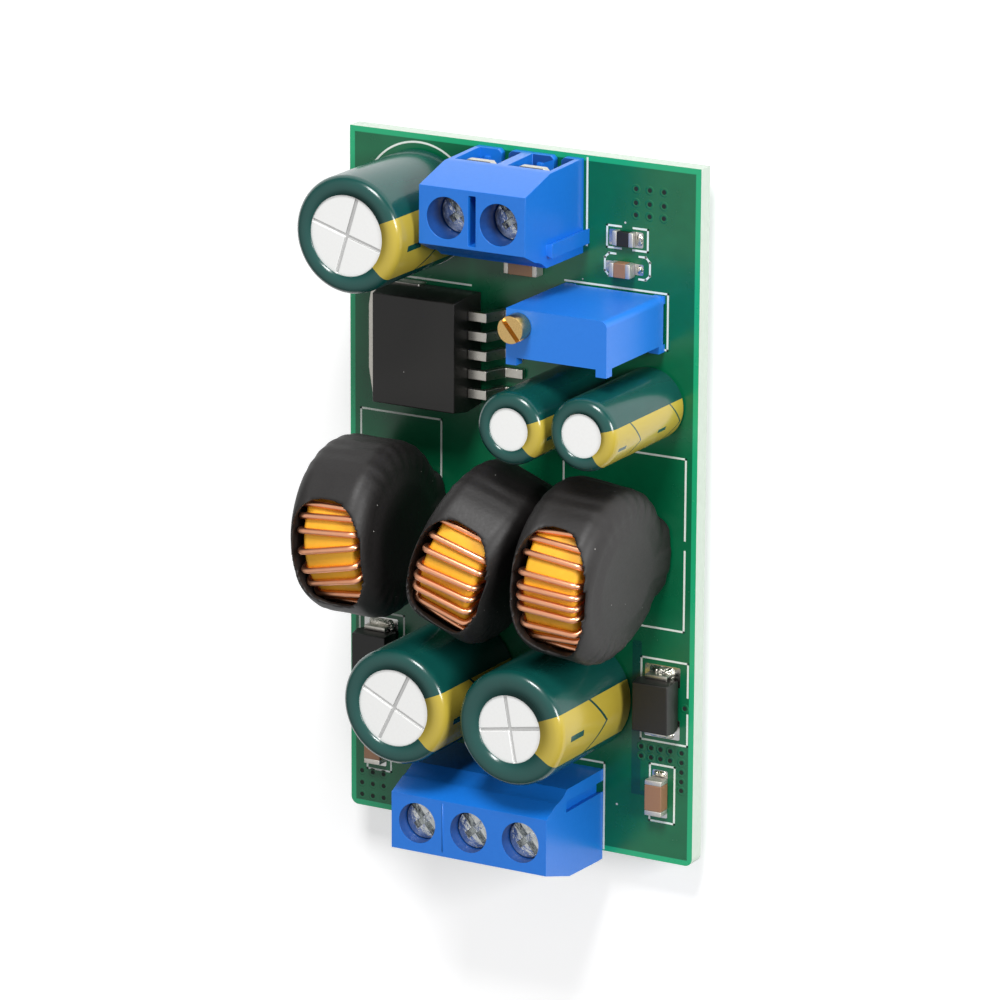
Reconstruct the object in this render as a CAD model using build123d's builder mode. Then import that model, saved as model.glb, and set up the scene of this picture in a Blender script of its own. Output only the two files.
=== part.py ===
from build123d import *
import os
from math import asin, cos, degrees, radians, sin
from typing import NamedTuple

# Buck-boost converter module: a small green circuit board that carries two
# screw terminal blocks, a multi-turn trimmer, a converter chip, five
# electrolytic capacitors, three sleeved ring chokes, two diodes and a few
# chip parts. It lies flat on its trimmed terminal pins, parts upwards.
# Millimetres. Places on the board are measured from its lower left corner.

os.makedirs("parts", exist_ok=True)

# Board
BOARD_WIDTH = 34.04
BOARD_LENGTH = 61.37
BOARD_THICK = 1.6
BOARD_CORNER = 0.7
PIN_STUB = 1.8              # terminal pins below the board, which it stands on
LEAD_STUB = 1.2             # trimmed wire leads below the board
ROW_CENTRE_Y = 30.3         # middle of the whole module, along the board
FACE = PIN_STUB + BOARD_THICK
ROUND_SIDES = 6             # sides drawn on the thin leads and their holes
HIDDEN_SIDES = 16           # sides drawn on rounds that are closed in, to keep the model light
HAIR = 0.01                 # lengths closer than this count as equal

# Terminal blocks
PITCH = 5.08
BLOCK_HEIGHT = 10.1
BLOCK_BACK = 4.15           # back wall, behind the row of screws
BLOCK_FOOT = 4.05           # front edge at the board
BLOCK_BROW = 3.85           # front edge under the sloping face
BROW_HEIGHT = 5.9
FOOT_HEIGHT = 0.9
TOP_FRONT = 2.6
TOP_BACK = 2.45
SHOULDER_BACK = 3.3
SHOULDER_HIGH = 8.3
SHOULDER_LOW = 6.4
SHOULDER_BULGE = 0.15
WELL_RADIUS = 1.8
CHAMBER_WIDTH = 4.08
CHAMBER_BACK = 2.6
CHAMBER_FLOOR = 0.7
CHAMBER_TOP = 5.0
FLOOR_SLOT = 0.7
FLOOR_SLOT_SHIFT = 0.38
FLOOR_SLOT_BACK = 2.0
FLOOR_CORNER = 0.3
RIB_WIDTH = 0.48
RIB_LENGTH = 0.7
RIB_HEIGHT = 0.25
RIB_SHIFT = -1.26
RIB_PLACE = 3.0
KEY_SLOT_WIDTH = 0.7
KEY_SLOT_LENGTH = 4.3
KEY_SLOT_DEPTH = 2.5
TONGUE_ROOT = 0.9
TONGUE_TIP = 1.3
TONGUE_PROUD = 0.6
TONGUE_TOP = 6.5
TONGUE_PLACE = -2.6
GROOVE_PLAY = 0.05
GROOVE_BACKING = 0.25       # extra wall inside, behind the groove

# Metal parts of a terminal pole
CONTACT_WIDTH = 3.4
CONTACT_WALL = 0.6
CONTACT_BACK = 2.55
CONTACT_FRONT = 2.6
PLATE_TOP = 4.5
PLATE_THICK = 0.75
PLATE_FRONT = 3.84
PLATE_CORNER = 0.6
PIN_WIDTH = 1.0
PIN_THICK = 0.8
PIN_BACK = 0.5
PIN_HOLE_RADIUS = 0.75
TAPPED_RADIUS = 1.5
SCREW_SHANK_RADIUS = 1.44
SCREW_HEAD_RADIUS = 1.7
SCREW_HEAD_HEIGHT = 1.6
SCREW_SHANK = 4.0
RECESS_DEPTH = 0.8
RECESS_WIDTH = 0.6
RECESS_CROSS = 2.3
RECESS_TURN = 40.0
LEAF_WIDTH = 2.6
LEAF_THICK = 0.3
LEAF_FRONT = 2.9
LEAF_BACK = 1.6
LEAF_LIP = 0.35
LEAF_CORNER = 0.5
TIP_GAP = 0.03

# Trimmer
TRIMMER_X = 26.015
TRIMMER_Y = 48.035
TRIMMER_WIDTH = 9.53
TRIMMER_DEPTH = 4.17
TRIMMER_TOP = 10.28
TRIMMER_STANDOFF = 0.3
TRIMMER_FOOT = 0.66
TRIMMER_FOOT_WIDTH = 1.0
TRIMMER_CORNER = 0.6
TRIMMER_SCREW_X = 22.5
TRIMMER_SCREW_Y = 48.7
TRIMMER_HEAD_RADIUS = 1.18
TRIMMER_HEAD_HEIGHT = 1.5
TRIMMER_STEM_RADIUS = 0.85
TRIMMER_STEM = 2.4
TRIMMER_BORE_RADIUS = 0.9
TRIMMER_SLOT = 0.42
TRIMMER_SLOT_DEPTH = 0.75
TRIMMER_SLOT_TURN = -50.0
TRIMMER_PIN_PITCH = 2.54
RUNNING_GAP = 0.05

# Converter chip
CHIP_X = 8.9
CHIP_Y = 43.3
CHIP_LENGTH = 8.6
CHIP_WIDTH = 10.2
CHIP_PARTING = 2.6
CHIP_TOP = 4.5
CHIP_TAPER = 8.0
CHIP_FOOT_TAPER = 3.0
TAB_THICK = 1.3
TAB_LEFT = 2.6
TAB_UNDER = 5.0
TAB_WIDTH = 10.4
TAB_CUT_LENGTH = 2.4
TAB_CUT_WIDTH = 0.4
CHIP_LEADS = 5
CHIP_LEAD_PITCH = 1.7
CHIP_LEAD_WIDTH = 0.85
CHIP_LEAD_THICK = 0.5
CHIP_LEAD_SHOULDER = 15.0
CHIP_LEAD_HEEL = 15.7
CHIP_LEAD_TOE = 17.4

# Electrolytic capacitors
LARGE_RADIUS = 5.1
SMALL_RADIUS = 3.16
CAPACITOR_HEIGHT = 12.4
SLEEVE_WALL = 0.15
SLEEVE_BASE = 0.25
SHOULDER = 0.8
SHOULDER_SLOPE = 45.0
CAN_SCORE_DEPTH = 0.15
CAN_SCORE_WIDTH = 0.3
BUNG_INSET = 0.9
LARGE_LEAD_PITCH = 5.0
SMALL_LEAD_PITCH = 2.5
LEAD_RADIUS = 0.3

# Ring chokes
CORE_OUTER = 6.35
CORE_INNER = 3.85
CORE_HALF = 2.55
CORE_EDGE = 0.45
CORE_SIDES = 36             # sides drawn on the ring's rim
WIRE = 0.56
WIRE_SIDES = 4
CHOKE_LEAD_SHIFT = 0.9
TURNS = 28
WOUND_ARC = 336.0
WRAP_RADIUS = 7.15          # inside of the shrunk sleeve, round the winding
WRAP_HALF = 3.3
WRAP_WALL = 0.5
WRAP_EDGE = 0.9
WRAP_INNER_EDGE = 0.25
WRAP_STEPS = 16             # flats drawn over the ring's crown
WRAP_HEEL = 3.2
WRAP_BASE = 0.15
MOUTH_WIDTH = 6.4           # oval mouth at the crown, seen from above
MOUTH_LENGTH = 10.8
MOUTH_SHIFT = -0.8
MOUTH_DEPTH = 4.6

# Diodes and chip parts
DIODE_LENGTH = 4.6
DIODE_WIDTH = 3.6
DIODE_TOP = 2.4
DIODE_PARTING = 1.3
DIODE_LIFT = 0.12
DIODE_TAPER = 7.0
DIODE_LEAD_WIDTH = 2.1
DIODE_LEAD_THICK = 0.2
DIODE_LEAD_REACH = 0.4
DIODE_LEAD_FOOT = 1.1


class TerminalBlock(NamedTuple):
    name: str
    x: float
    y: float
    poles: int
    turn: float             # 0: wires enter from +Y, 180: from -Y
    key_slots: int
    head_depth: float       # screw heads below the top face


class Capacitor(NamedTuple):
    name: str
    x: float
    y: float
    radius: float
    opening: float          # radius of bare can that the sleeve leaves
    pitch: float
    scored: bool
    score_turn: float


class Choke(NamedTuple):
    name: str
    x: float
    y: float
    height: float           # ring centre above the board
    turn: float


class ChipPart(NamedTuple):
    x: float
    y: float
    length: float
    width: float
    height: float
    turn: float


TERMINAL_BLOCKS = (
    TerminalBlock("input", 17.83, 57.02, 2, 0.0, 1, 2.5),
    TerminalBlock("output", 17.69, 3.28, 3, 180.0, 0, 1.3),
)
CAPACITORS = (
    Capacitor("input_capacitor", 7.0, 54.95, LARGE_RADIUS, 3.5, LARGE_LEAD_PITCH, True, -17.0),
    Capacitor("left_output_capacitor", 11.55, 14.13, LARGE_RADIUS, 3.4, LARGE_LEAD_PITCH, True, -26.0),
    Capacitor("right_output_capacitor", 22.93, 14.1, LARGE_RADIUS, 3.0, LARGE_LEAD_PITCH, True, 10.0),
    Capacitor("left_coupling_capacitor", 22.7, 40.3, SMALL_RADIUS, 1.85, SMALL_LEAD_PITCH, False, 0.0),
    Capacitor("right_coupling_capacitor", 29.6, 40.7, SMALL_RADIUS, 1.9, SMALL_LEAD_PITCH, False, 0.0),
)
CHOKES = (
    Choke("left_choke", 5.95, 28.3, 7.4, 0.0),
    Choke("middle_choke", 17.9, 27.8, 7.5, -22.0),
    Choke("right_choke", 27.5, 27.6, 7.6, -6.0),
)
DIODES = (("left_diode", 3.15, 14.45), ("right_diode", 31.0, 14.45))
CERAMIC_CAPACITORS = (
    ChipPart(30.83, 6.04, 3.2, 1.6, 1.25, 90.0),
    ChipPart(2.85, 6.04, 3.2, 1.6, 1.25, 90.0),
    ChipPart(17.5, 51.3, 3.2, 1.6, 1.25, 0.0),
    ChipPart(26.9, 52.02, 2.0, 1.25, 1.0, 0.0),
)
RESISTOR = ChipPart(26.95, 54.65, 2.0, 1.25, 0.55, 0.0)
END_CAP = 0.45              # tinned end of a chip part, along its length
CHIP_STANDOFF = 0.05


def spot(x, y, height=0.0, turn=0.0):
    """Level plane over a place on the board, at a height above its upper face."""
    return Plane(
        origin=(x - BOARD_WIDTH / 2, y - ROW_CENTRE_Y, FACE + height),
        x_dir=(cos(radians(turn)), sin(radians(turn)), 0),
        z_dir=(0, 0, 1),
    )


def side_plane(x, y, turn, offset=0.0):
    """Upright plane across a part: its x runs along the part's y, its y up."""
    along = Vector(cos(radians(turn)), sin(radians(turn)), 0)
    across = Vector(-sin(radians(turn)), cos(radians(turn)), 0)
    origin = spot(x, y).origin + along * offset
    return Plane(origin=origin, x_dir=across, z_dir=along)


def on_board(x, y, turn, across, along):
    """Board coordinates of a point given in a turned part's own x and y."""
    c, s = cos(radians(turn)), sin(radians(turn))
    return (x + c * across - s * along, y + s * across + c * along)


def pole_offsets(block):
    """Places of a block's poles along its row, from its middle."""
    return [(k - (block.poles - 1) / 2) * PITCH for k in range(block.poles)]


def pole_spot(block, offset, height=0.0):
    """Plane over one pole, at a height above the board."""
    x, y = on_board(block.x, block.y, block.turn, offset, 0)
    return spot(x, y, height, block.turn)


def choke_lead_places(choke):
    """Board coordinates of a choke's two wire ends."""
    reach = CORE_HALF + WIRE / 2
    return [
        on_board(choke.x, choke.y, choke.turn, side * reach, side * CHOKE_LEAD_SHIFT) for side in (1, -1)
    ]


# Circuit board, with a hole for every lead and pin
pin_holes = [
    on_board(b.x, b.y, b.turn, offset, -PIN_BACK) for b in TERMINAL_BLOCKS for offset in pole_offsets(b)
]
lead_holes = [(c.x + side * c.pitch / 2, c.y) for c in CAPACITORS for side in (-1, 1)]
lead_holes += [place for choke in CHOKES for place in choke_lead_places(choke)]
lead_holes += [(TRIMMER_X + k * TRIMMER_PIN_PITCH, TRIMMER_Y) for k in (-1, 0, 1)]

with BuildPart() as circuit_board:
    with BuildSketch(spot(BOARD_WIDTH / 2, BOARD_LENGTH / 2, -BOARD_THICK)) as outline:
        Rectangle(BOARD_WIDTH, BOARD_LENGTH)
        fillet(outline.vertices().group_by(Axis.Y)[0], BOARD_CORNER)
        with Locations([(x - BOARD_WIDTH / 2, y - BOARD_LENGTH / 2) for x, y in pin_holes]):
            RegularPolygon(PIN_HOLE_RADIUS, ROUND_SIDES, mode=Mode.SUBTRACT)
        with Locations([(x - BOARD_WIDTH / 2, y - BOARD_LENGTH / 2) for x, y in lead_holes]):
            RegularPolygon(LEAD_RADIUS, ROUND_SIDES, mode=Mode.SUBTRACT)
    extrude(amount=BOARD_THICK)

circuit_board.part.label = "circuit_board"
export_step(circuit_board.part, "parts/circuit_board.step")


def build_housing(block):
    """Moulded shell: sloping front, screw wells, and a chamber per pole that opens forwards."""
    width = block.poles * PITCH
    with BuildPart() as housing:
        with BuildSketch(side_plane(block.x, block.y, block.turn, -width / 2)):
            with BuildLine():
                Polyline(
                    (-BLOCK_BACK, SHOULDER_LOW),
                    (-BLOCK_BACK, 0),
                    (BLOCK_FOOT, 0),
                    (BLOCK_FOOT, FOOT_HEIGHT),
                    (BLOCK_BROW, BROW_HEIGHT),
                    (TOP_FRONT, BLOCK_HEIGHT),
                    (-TOP_BACK, BLOCK_HEIGHT),
                    (-SHOULDER_BACK, SHOULDER_HIGH),
                )
                SagittaArc((-SHOULDER_BACK, SHOULDER_HIGH), (-BLOCK_BACK, SHOULDER_LOW), SHOULDER_BULGE)
            make_face()
        extrude(amount=width)

        # screw wells and wire chambers, with a slot in each floor and a pin hole
        for offset in pole_offsets(block):
            with BuildSketch(pole_spot(block, offset, BLOCK_HEIGHT)):
                Circle(WELL_RADIUS)
            extrude(amount=-(BLOCK_HEIGHT - CHAMBER_TOP), mode=Mode.SUBTRACT)
            with BuildSketch(pole_spot(block, offset, CHAMBER_FLOOR)):
                with Locations((0, (BLOCK_FOOT + PITCH - CHAMBER_BACK) / 2)):
                    Rectangle(CHAMBER_WIDTH, BLOCK_FOOT + PITCH + CHAMBER_BACK)
            extrude(amount=CHAMBER_TOP - CHAMBER_FLOOR, mode=Mode.SUBTRACT)
            with BuildSketch(pole_spot(block, offset)):
                with Locations((FLOOR_SLOT_SHIFT, (BLOCK_FOOT + PITCH + FLOOR_SLOT_BACK) / 2)):
                    Rectangle(FLOOR_SLOT, BLOCK_FOOT + PITCH - FLOOR_SLOT_BACK)
                with Locations((0, -PIN_BACK)):
                    Rectangle(PIN_WIDTH, PIN_THICK)
            extrude(amount=CHAMBER_FLOOR, mode=Mode.SUBTRACT)
            with BuildSketch(pole_spot(block, offset, CHAMBER_FLOOR)):
                with Locations((RIB_SHIFT, RIB_PLACE)):
                    Rectangle(RIB_WIDTH, RIB_LENGTH)
            extrude(amount=RIB_HEIGHT)
        forwards = Axis(spot(block.x, block.y).origin, pole_spot(block, 0).y_dir)
        tab_edges = housing.edges().filter_by(Axis.Z).group_by(forwards)[-1]
        chamfer(tab_edges.filter_by(lambda e: abs(e.length - CHAMBER_FLOOR) < HAIR), FLOOR_CORNER)

        # keying slots in the top, between the poles
        for k in range(block.key_slots):
            middle = pole_offsets(block)[k] + PITCH / 2
            with BuildSketch(pole_spot(block, middle, BLOCK_HEIGHT)):
                Rectangle(KEY_SLOT_WIDTH, KEY_SLOT_LENGTH)
            extrude(amount=-KEY_SLOT_DEPTH, mode=Mode.SUBTRACT)

        # dovetail tongue on one end, and the groove that the next block's tongue fits on the other
        with BuildSketch(pole_spot(block, width / 2)):
            with Locations((0, TONGUE_PLACE)):
                Polygon(
                    (0, -TONGUE_ROOT / 2),
                    (TONGUE_PROUD, -TONGUE_TIP / 2),
                    (TONGUE_PROUD, TONGUE_TIP / 2),
                    (0, TONGUE_ROOT / 2),
                    align=None,
                )
        extrude(amount=TONGUE_TOP)
        with BuildSketch(pole_spot(block, -width / 2, CHAMBER_FLOOR)):
            with Locations(((PITCH - CHAMBER_WIDTH + GROOVE_BACKING) / 2, TONGUE_PLACE)):
                Rectangle(GROOVE_BACKING, TONGUE_TIP + GROOVE_BACKING)
        extrude(amount=CHAMBER_TOP - CHAMBER_FLOOR)
        with BuildSketch(pole_spot(block, -width / 2)):
            with Locations((0, TONGUE_PLACE)):
                Polygon(
                    (0, -TONGUE_ROOT / 2 - GROOVE_PLAY),
                    (TONGUE_PROUD + GROOVE_PLAY, -TONGUE_TIP / 2 - GROOVE_PLAY),
                    (TONGUE_PROUD + GROOVE_PLAY, TONGUE_TIP / 2 + GROOVE_PLAY),
                    (0, TONGUE_ROOT / 2 + GROOVE_PLAY),
                    align=None,
                )
        extrude(amount=TONGUE_TOP + GROOVE_PLAY, mode=Mode.SUBTRACT)
    return housing


def build_contact(block, offset):
    """Tinned strip bent round the wire space: floor, back wall and tapped plate, with a pin."""
    x, y = on_board(block.x, block.y, block.turn, offset, 0)
    floor_top = CHAMBER_FLOOR + CONTACT_WALL
    with BuildPart() as contact:
        with BuildSketch(side_plane(x, y, block.turn, -CONTACT_WIDTH / 2)):
            with BuildLine():
                Polyline(
                    (PLATE_FRONT, PLATE_TOP - PLATE_THICK),
                    (PLATE_FRONT, PLATE_TOP),
                    (-CONTACT_BACK, PLATE_TOP),
                    (-CONTACT_BACK, CHAMBER_FLOOR),
                    (CONTACT_FRONT, CHAMBER_FLOOR),
                    (CONTACT_FRONT, floor_top),
                    (CONTACT_WALL - CONTACT_BACK, floor_top),
                    (CONTACT_WALL - CONTACT_BACK, PLATE_TOP - PLATE_THICK),
                    close=True,
                )
            make_face()
        extrude(amount=CONTACT_WIDTH)
        upright = contact.edges().filter_by(Axis.Z)
        plate_corners = upright.filter_by(lambda e: abs(e.length - PLATE_THICK) < HAIR)
        chamfer(plate_corners, PLATE_CORNER)
        with BuildSketch(pole_spot(block, offset, PLATE_TOP)):
            RegularPolygon(TAPPED_RADIUS, HIDDEN_SIDES)
        extrude(amount=-PLATE_THICK, mode=Mode.SUBTRACT)
        with BuildSketch(pole_spot(block, offset, CHAMBER_FLOOR)):
            with Locations((0, -PIN_BACK)):
                Rectangle(PIN_WIDTH, PIN_THICK)
        extrude(amount=-(CHAMBER_FLOOR + FACE))
    return contact


def build_leaf(block, offset, tip):
    """Springy pressure leaf under the screw's tip, with its front edge turned up to guide the wire."""
    x, y = on_board(block.x, block.y, block.turn, offset, 0)
    top = tip - TIP_GAP
    with BuildPart() as leaf:
        with BuildSketch(side_plane(x, y, block.turn, -LEAF_WIDTH / 2)):
            with BuildLine():
                Polyline(
                    (-LEAF_BACK, top - LEAF_THICK),
                    (LEAF_FRONT - LEAF_LIP - LEAF_THICK, top - LEAF_THICK),
                    (LEAF_FRONT, top + LEAF_LIP - LEAF_THICK),
                    (LEAF_FRONT, top + LEAF_LIP),
                    (LEAF_FRONT - LEAF_LIP - LEAF_THICK, top),
                    (-LEAF_BACK, top),
                    close=True,
                )
            make_face()
        extrude(amount=LEAF_WIDTH)
        forwards = Axis(spot(x, y).origin, pole_spot(block, offset).y_dir)
        chamfer(leaf.edges().filter_by(Axis.Z).group_by(forwards)[-1], LEAF_CORNER)
    return leaf


def build_screw(block, offset, under_head):
    """Combination-head clamp screw, slot across a cross recess."""
    with BuildPart() as screw:
        with BuildSketch(pole_spot(block, offset, under_head)):
            Circle(SCREW_HEAD_RADIUS)
        extrude(amount=SCREW_HEAD_HEIGHT)
        with BuildSketch(pole_spot(block, offset, under_head)):
            RegularPolygon(SCREW_SHANK_RADIUS, HIDDEN_SIDES)
        extrude(amount=-SCREW_SHANK)
        with BuildSketch(pole_spot(block, offset, under_head + SCREW_HEAD_HEIGHT)):
            Rectangle(RECESS_WIDTH, 2 * SCREW_HEAD_RADIUS + RECESS_WIDTH, RECESS_TURN)
            Rectangle(RECESS_CROSS, RECESS_WIDTH, RECESS_TURN)
        extrude(amount=-RECESS_DEPTH, mode=Mode.SUBTRACT)
    return screw


for block in TERMINAL_BLOCKS:
    housing = build_housing(block)
    housing.part.label = f"{block.name}_terminal_housing"
    export_step(housing.part, f"parts/{housing.part.label}.step")

    under_head = BLOCK_HEIGHT - block.head_depth - SCREW_HEAD_HEIGHT
    for number, offset in enumerate(pole_offsets(block), start=1):
        contact = build_contact(block, offset)
        contact.part.label = f"{block.name}_contact_{number}"
        export_step(contact.part, f"parts/{contact.part.label}.step")

        leaf = build_leaf(block, offset, under_head - SCREW_SHANK)
        leaf.part.label = f"{block.name}_leaf_{number}"
        export_step(leaf.part, f"parts/{leaf.part.label}.step")

        screw = build_screw(block, offset, under_head)
        screw.part.label = f"{block.name}_screw_{number}"
        export_step(screw.part, f"parts/{screw.part.label}.step")


# Trimmer: moulded block on four low feet, with a brass adjusting screw
with BuildPart() as trimmer_housing:
    with BuildSketch(spot(TRIMMER_X, TRIMMER_Y, TRIMMER_STANDOFF)):
        Rectangle(TRIMMER_WIDTH, TRIMMER_DEPTH)
    extrude(amount=TRIMMER_TOP - TRIMMER_STANDOFF)
    right_corner = trimmer_housing.edges().filter_by(Axis.Z).group_by(Axis.X)[-1].sort_by(Axis.Y)[-1]
    fillet(right_corner, TRIMMER_CORNER)
    foot_x = (TRIMMER_WIDTH - TRIMMER_FOOT_WIDTH) / 2
    front_y = -(TRIMMER_DEPTH + TRIMMER_FOOT) / 2
    back_y = (TRIMMER_DEPTH - TRIMMER_FOOT) / 2
    for height in (0, TRIMMER_TOP - TRIMMER_FOOT_WIDTH):
        with BuildSketch(spot(TRIMMER_X, TRIMMER_Y, height)):
            with Locations((-foot_x, front_y), (foot_x, front_y)):
                Rectangle(TRIMMER_FOOT_WIDTH, TRIMMER_FOOT)
        extrude(amount=TRIMMER_FOOT_WIDTH)
    with BuildSketch(spot(TRIMMER_X, TRIMMER_Y)):
        with Locations((-foot_x, back_y), (foot_x, back_y)):
            Rectangle(TRIMMER_FOOT_WIDTH, TRIMMER_FOOT)
    extrude(amount=TRIMMER_STANDOFF)
    with BuildSketch(spot(TRIMMER_SCREW_X, TRIMMER_SCREW_Y, TRIMMER_TOP)):
        RegularPolygon(TRIMMER_BORE_RADIUS, HIDDEN_SIDES)
    extrude(amount=-(TRIMMER_STEM + RUNNING_GAP), mode=Mode.SUBTRACT)

trimmer_housing.part.label = "trimmer_housing"
export_step(trimmer_housing.part, "parts/trimmer_housing.step")

with BuildPart() as trimmer_screw:
    with BuildSketch(spot(TRIMMER_SCREW_X, TRIMMER_SCREW_Y, TRIMMER_TOP + RUNNING_GAP)):
        Circle(TRIMMER_HEAD_RADIUS)
    extrude(amount=TRIMMER_HEAD_HEIGHT)
    with BuildSketch(spot(TRIMMER_SCREW_X, TRIMMER_SCREW_Y, TRIMMER_TOP + RUNNING_GAP)):
        RegularPolygon(TRIMMER_STEM_RADIUS, HIDDEN_SIDES)
    extrude(amount=-TRIMMER_STEM)
    head_top = TRIMMER_TOP + RUNNING_GAP + TRIMMER_HEAD_HEIGHT
    with BuildSketch(spot(TRIMMER_SCREW_X, TRIMMER_SCREW_Y, head_top, TRIMMER_SLOT_TURN)):
        Rectangle(2 * TRIMMER_HEAD_RADIUS + TRIMMER_SLOT, TRIMMER_SLOT)
    extrude(amount=-TRIMMER_SLOT_DEPTH, mode=Mode.SUBTRACT)

trimmer_screw.part.label = "trimmer_screw"
export_step(trimmer_screw.part, "parts/trimmer_screw.step")

with BuildPart() as trimmer_pins:
    with BuildSketch(spot(TRIMMER_X, TRIMMER_Y, TRIMMER_STANDOFF)):
        with GridLocations(TRIMMER_PIN_PITCH, 0, 3, 1):
            RegularPolygon(LEAD_RADIUS, ROUND_SIDES)
    extrude(amount=-(TRIMMER_STANDOFF + BOARD_THICK + LEAD_STUB))

trimmer_pins.part.label = "trimmer_pins"
export_step(trimmer_pins.part, "parts/trimmer_pins.step")


# Converter chip: moulded body over a metal tab, with five bent leads
with BuildPart() as converter_tab:
    with BuildSketch(spot(TAB_LEFT, CHIP_Y)):
        with BuildLine():
            Polyline(
                (0, TAB_CUT_LENGTH - TAB_WIDTH / 2),
                (TAB_CUT_WIDTH, -TAB_WIDTH / 2),
                (TAB_UNDER, -TAB_WIDTH / 2),
                (TAB_UNDER, TAB_WIDTH / 2),
                (TAB_CUT_WIDTH, TAB_WIDTH / 2),
                (0, TAB_WIDTH / 2 - TAB_CUT_LENGTH),
                close=True,
            )
        make_face()
    extrude(amount=TAB_THICK)

with BuildPart() as converter_body:
    with BuildSketch(spot(CHIP_X, CHIP_Y, CHIP_PARTING)):
        Rectangle(CHIP_LENGTH, CHIP_WIDTH)
    extrude(amount=CHIP_TOP - CHIP_PARTING, taper=CHIP_TAPER)
    with BuildSketch(spot(CHIP_X, CHIP_Y, CHIP_PARTING)):
        Rectangle(CHIP_LENGTH, CHIP_WIDTH)
    extrude(amount=-(CHIP_PARTING - CHIP_STANDOFF), taper=CHIP_FOOT_TAPER)
    # pocket that the tab is moulded into
    with BuildSketch(spot(TAB_LEFT + TAB_UNDER / 2, CHIP_Y)):
        Rectangle(TAB_UNDER, TAB_WIDTH)
    extrude(amount=TAB_THICK, mode=Mode.SUBTRACT)

converter_body.part.label = "converter_chip_body"
export_step(converter_body.part, "parts/converter_chip_body.step")
converter_tab.part.label = "converter_chip_tab"
export_step(converter_tab.part, "parts/converter_chip_tab.step")

chip_edge = CHIP_X + CHIP_LENGTH / 2
with BuildPart() as converter_leads:
    for k in range(CHIP_LEADS):
        lead_y = CHIP_Y + (k - (CHIP_LEADS - 1) / 2) * CHIP_LEAD_PITCH
        # upright plane facing -Y, so its x runs along the board's x
        face = Plane(
            origin=spot(0, lead_y + CHIP_LEAD_WIDTH / 2).origin,
            x_dir=(1, 0, 0),
            z_dir=(0, -1, 0),
        )
        with BuildSketch(face):
            with BuildLine():
                Polyline(
                    (chip_edge, CHIP_PARTING),
                    (CHIP_LEAD_SHOULDER, CHIP_PARTING),
                    (CHIP_LEAD_HEEL, CHIP_LEAD_THICK),
                    (CHIP_LEAD_TOE, CHIP_LEAD_THICK),
                    (CHIP_LEAD_TOE, 0),
                    (CHIP_LEAD_HEEL - CHIP_LEAD_THICK, 0),
                    (CHIP_LEAD_SHOULDER - CHIP_LEAD_THICK, CHIP_PARTING - CHIP_LEAD_THICK),
                    (chip_edge, CHIP_PARTING - CHIP_LEAD_THICK),
                    close=True,
                )
            make_face()
        extrude(amount=CHIP_LEAD_WIDTH)

converter_leads.part.label = "converter_chip_leads"
export_step(converter_leads.part, "parts/converter_chip_leads.step")


def build_can(cap):
    """Drawn aluminium can, filled by its winding and scored across the top on the large sizes."""
    top = CAPACITOR_HEIGHT - SLEEVE_WALL
    with BuildPart() as can:
        with BuildSketch(spot(cap.x, cap.y, SLEEVE_BASE)):
            RegularPolygon(cap.radius - SLEEVE_WALL, HIDDEN_SIDES)
        extrude(amount=top - SLEEVE_BASE)
        chamfer(can.edges().group_by(Axis.Z)[-1], SHOULDER)
        if cap.scored:
            with BuildSketch(spot(cap.x, cap.y, top, cap.score_turn)):
                Rectangle(2 * cap.opening, CAN_SCORE_WIDTH)
                Rectangle(CAN_SCORE_WIDTH, 2 * cap.opening)
            extrude(amount=-CAN_SCORE_DEPTH, mode=Mode.SUBTRACT)
    return can


def build_sleeve(cap):
    """Printed plastic sleeve, shrunk over the can's shoulder on to its top."""
    with BuildPart() as sleeve:
        with BuildSketch(spot(cap.x, cap.y, SLEEVE_BASE)):
            Circle(cap.radius)
        extrude(amount=CAPACITOR_HEIGHT - SLEEVE_BASE)
        chamfer(sleeve.edges().group_by(Axis.Z)[-1], SHOULDER)
        # room for the can, and the window over its top
        with BuildSketch(spot(cap.x, cap.y, SLEEVE_BASE)):
            RegularPolygon(cap.radius - SLEEVE_WALL, HIDDEN_SIDES)
        extrude(amount=CAPACITOR_HEIGHT - SLEEVE_WALL - SHOULDER - SLEEVE_BASE, mode=Mode.SUBTRACT)
        with BuildSketch(spot(cap.x, cap.y, CAPACITOR_HEIGHT - SLEEVE_WALL - SHOULDER)):
            RegularPolygon(cap.radius - SLEEVE_WALL, HIDDEN_SIDES)
        extrude(amount=SHOULDER, taper=SHOULDER_SLOPE, mode=Mode.SUBTRACT)
        with BuildSketch(spot(cap.x, cap.y, CAPACITOR_HEIGHT)):
            Circle(cap.opening)
        extrude(amount=-SLEEVE_WALL, mode=Mode.SUBTRACT)
    return sleeve


def build_bung(cap):
    """Rubber bung that seals the can's open end and keeps it off the board."""
    with BuildPart() as bung:
        with BuildSketch(spot(cap.x, cap.y)):
            RegularPolygon(cap.radius - SLEEVE_WALL - BUNG_INSET, HIDDEN_SIDES)
        extrude(amount=SLEEVE_BASE)
    return bung


def build_capacitor_leads(cap):
    """Two tinned leads, from the bung to just under the board."""
    with BuildPart() as leads:
        with BuildSketch(spot(cap.x, cap.y)):
            with GridLocations(cap.pitch, 0, 2, 1):
                RegularPolygon(LEAD_RADIUS, ROUND_SIDES)
        extrude(amount=-(BOARD_THICK + LEAD_STUB))
    return leads


for cap in CAPACITORS:
    pieces = {
        "sleeve": build_sleeve(cap),
        "can": build_can(cap),
        "bung": build_bung(cap),
        "leads": build_capacitor_leads(cap),
    }
    for kind, piece in pieces.items():
        piece.part.label = f"{cap.name}_{kind}"
        export_step(piece.part, f"parts/{piece.part.label}.step")


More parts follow.
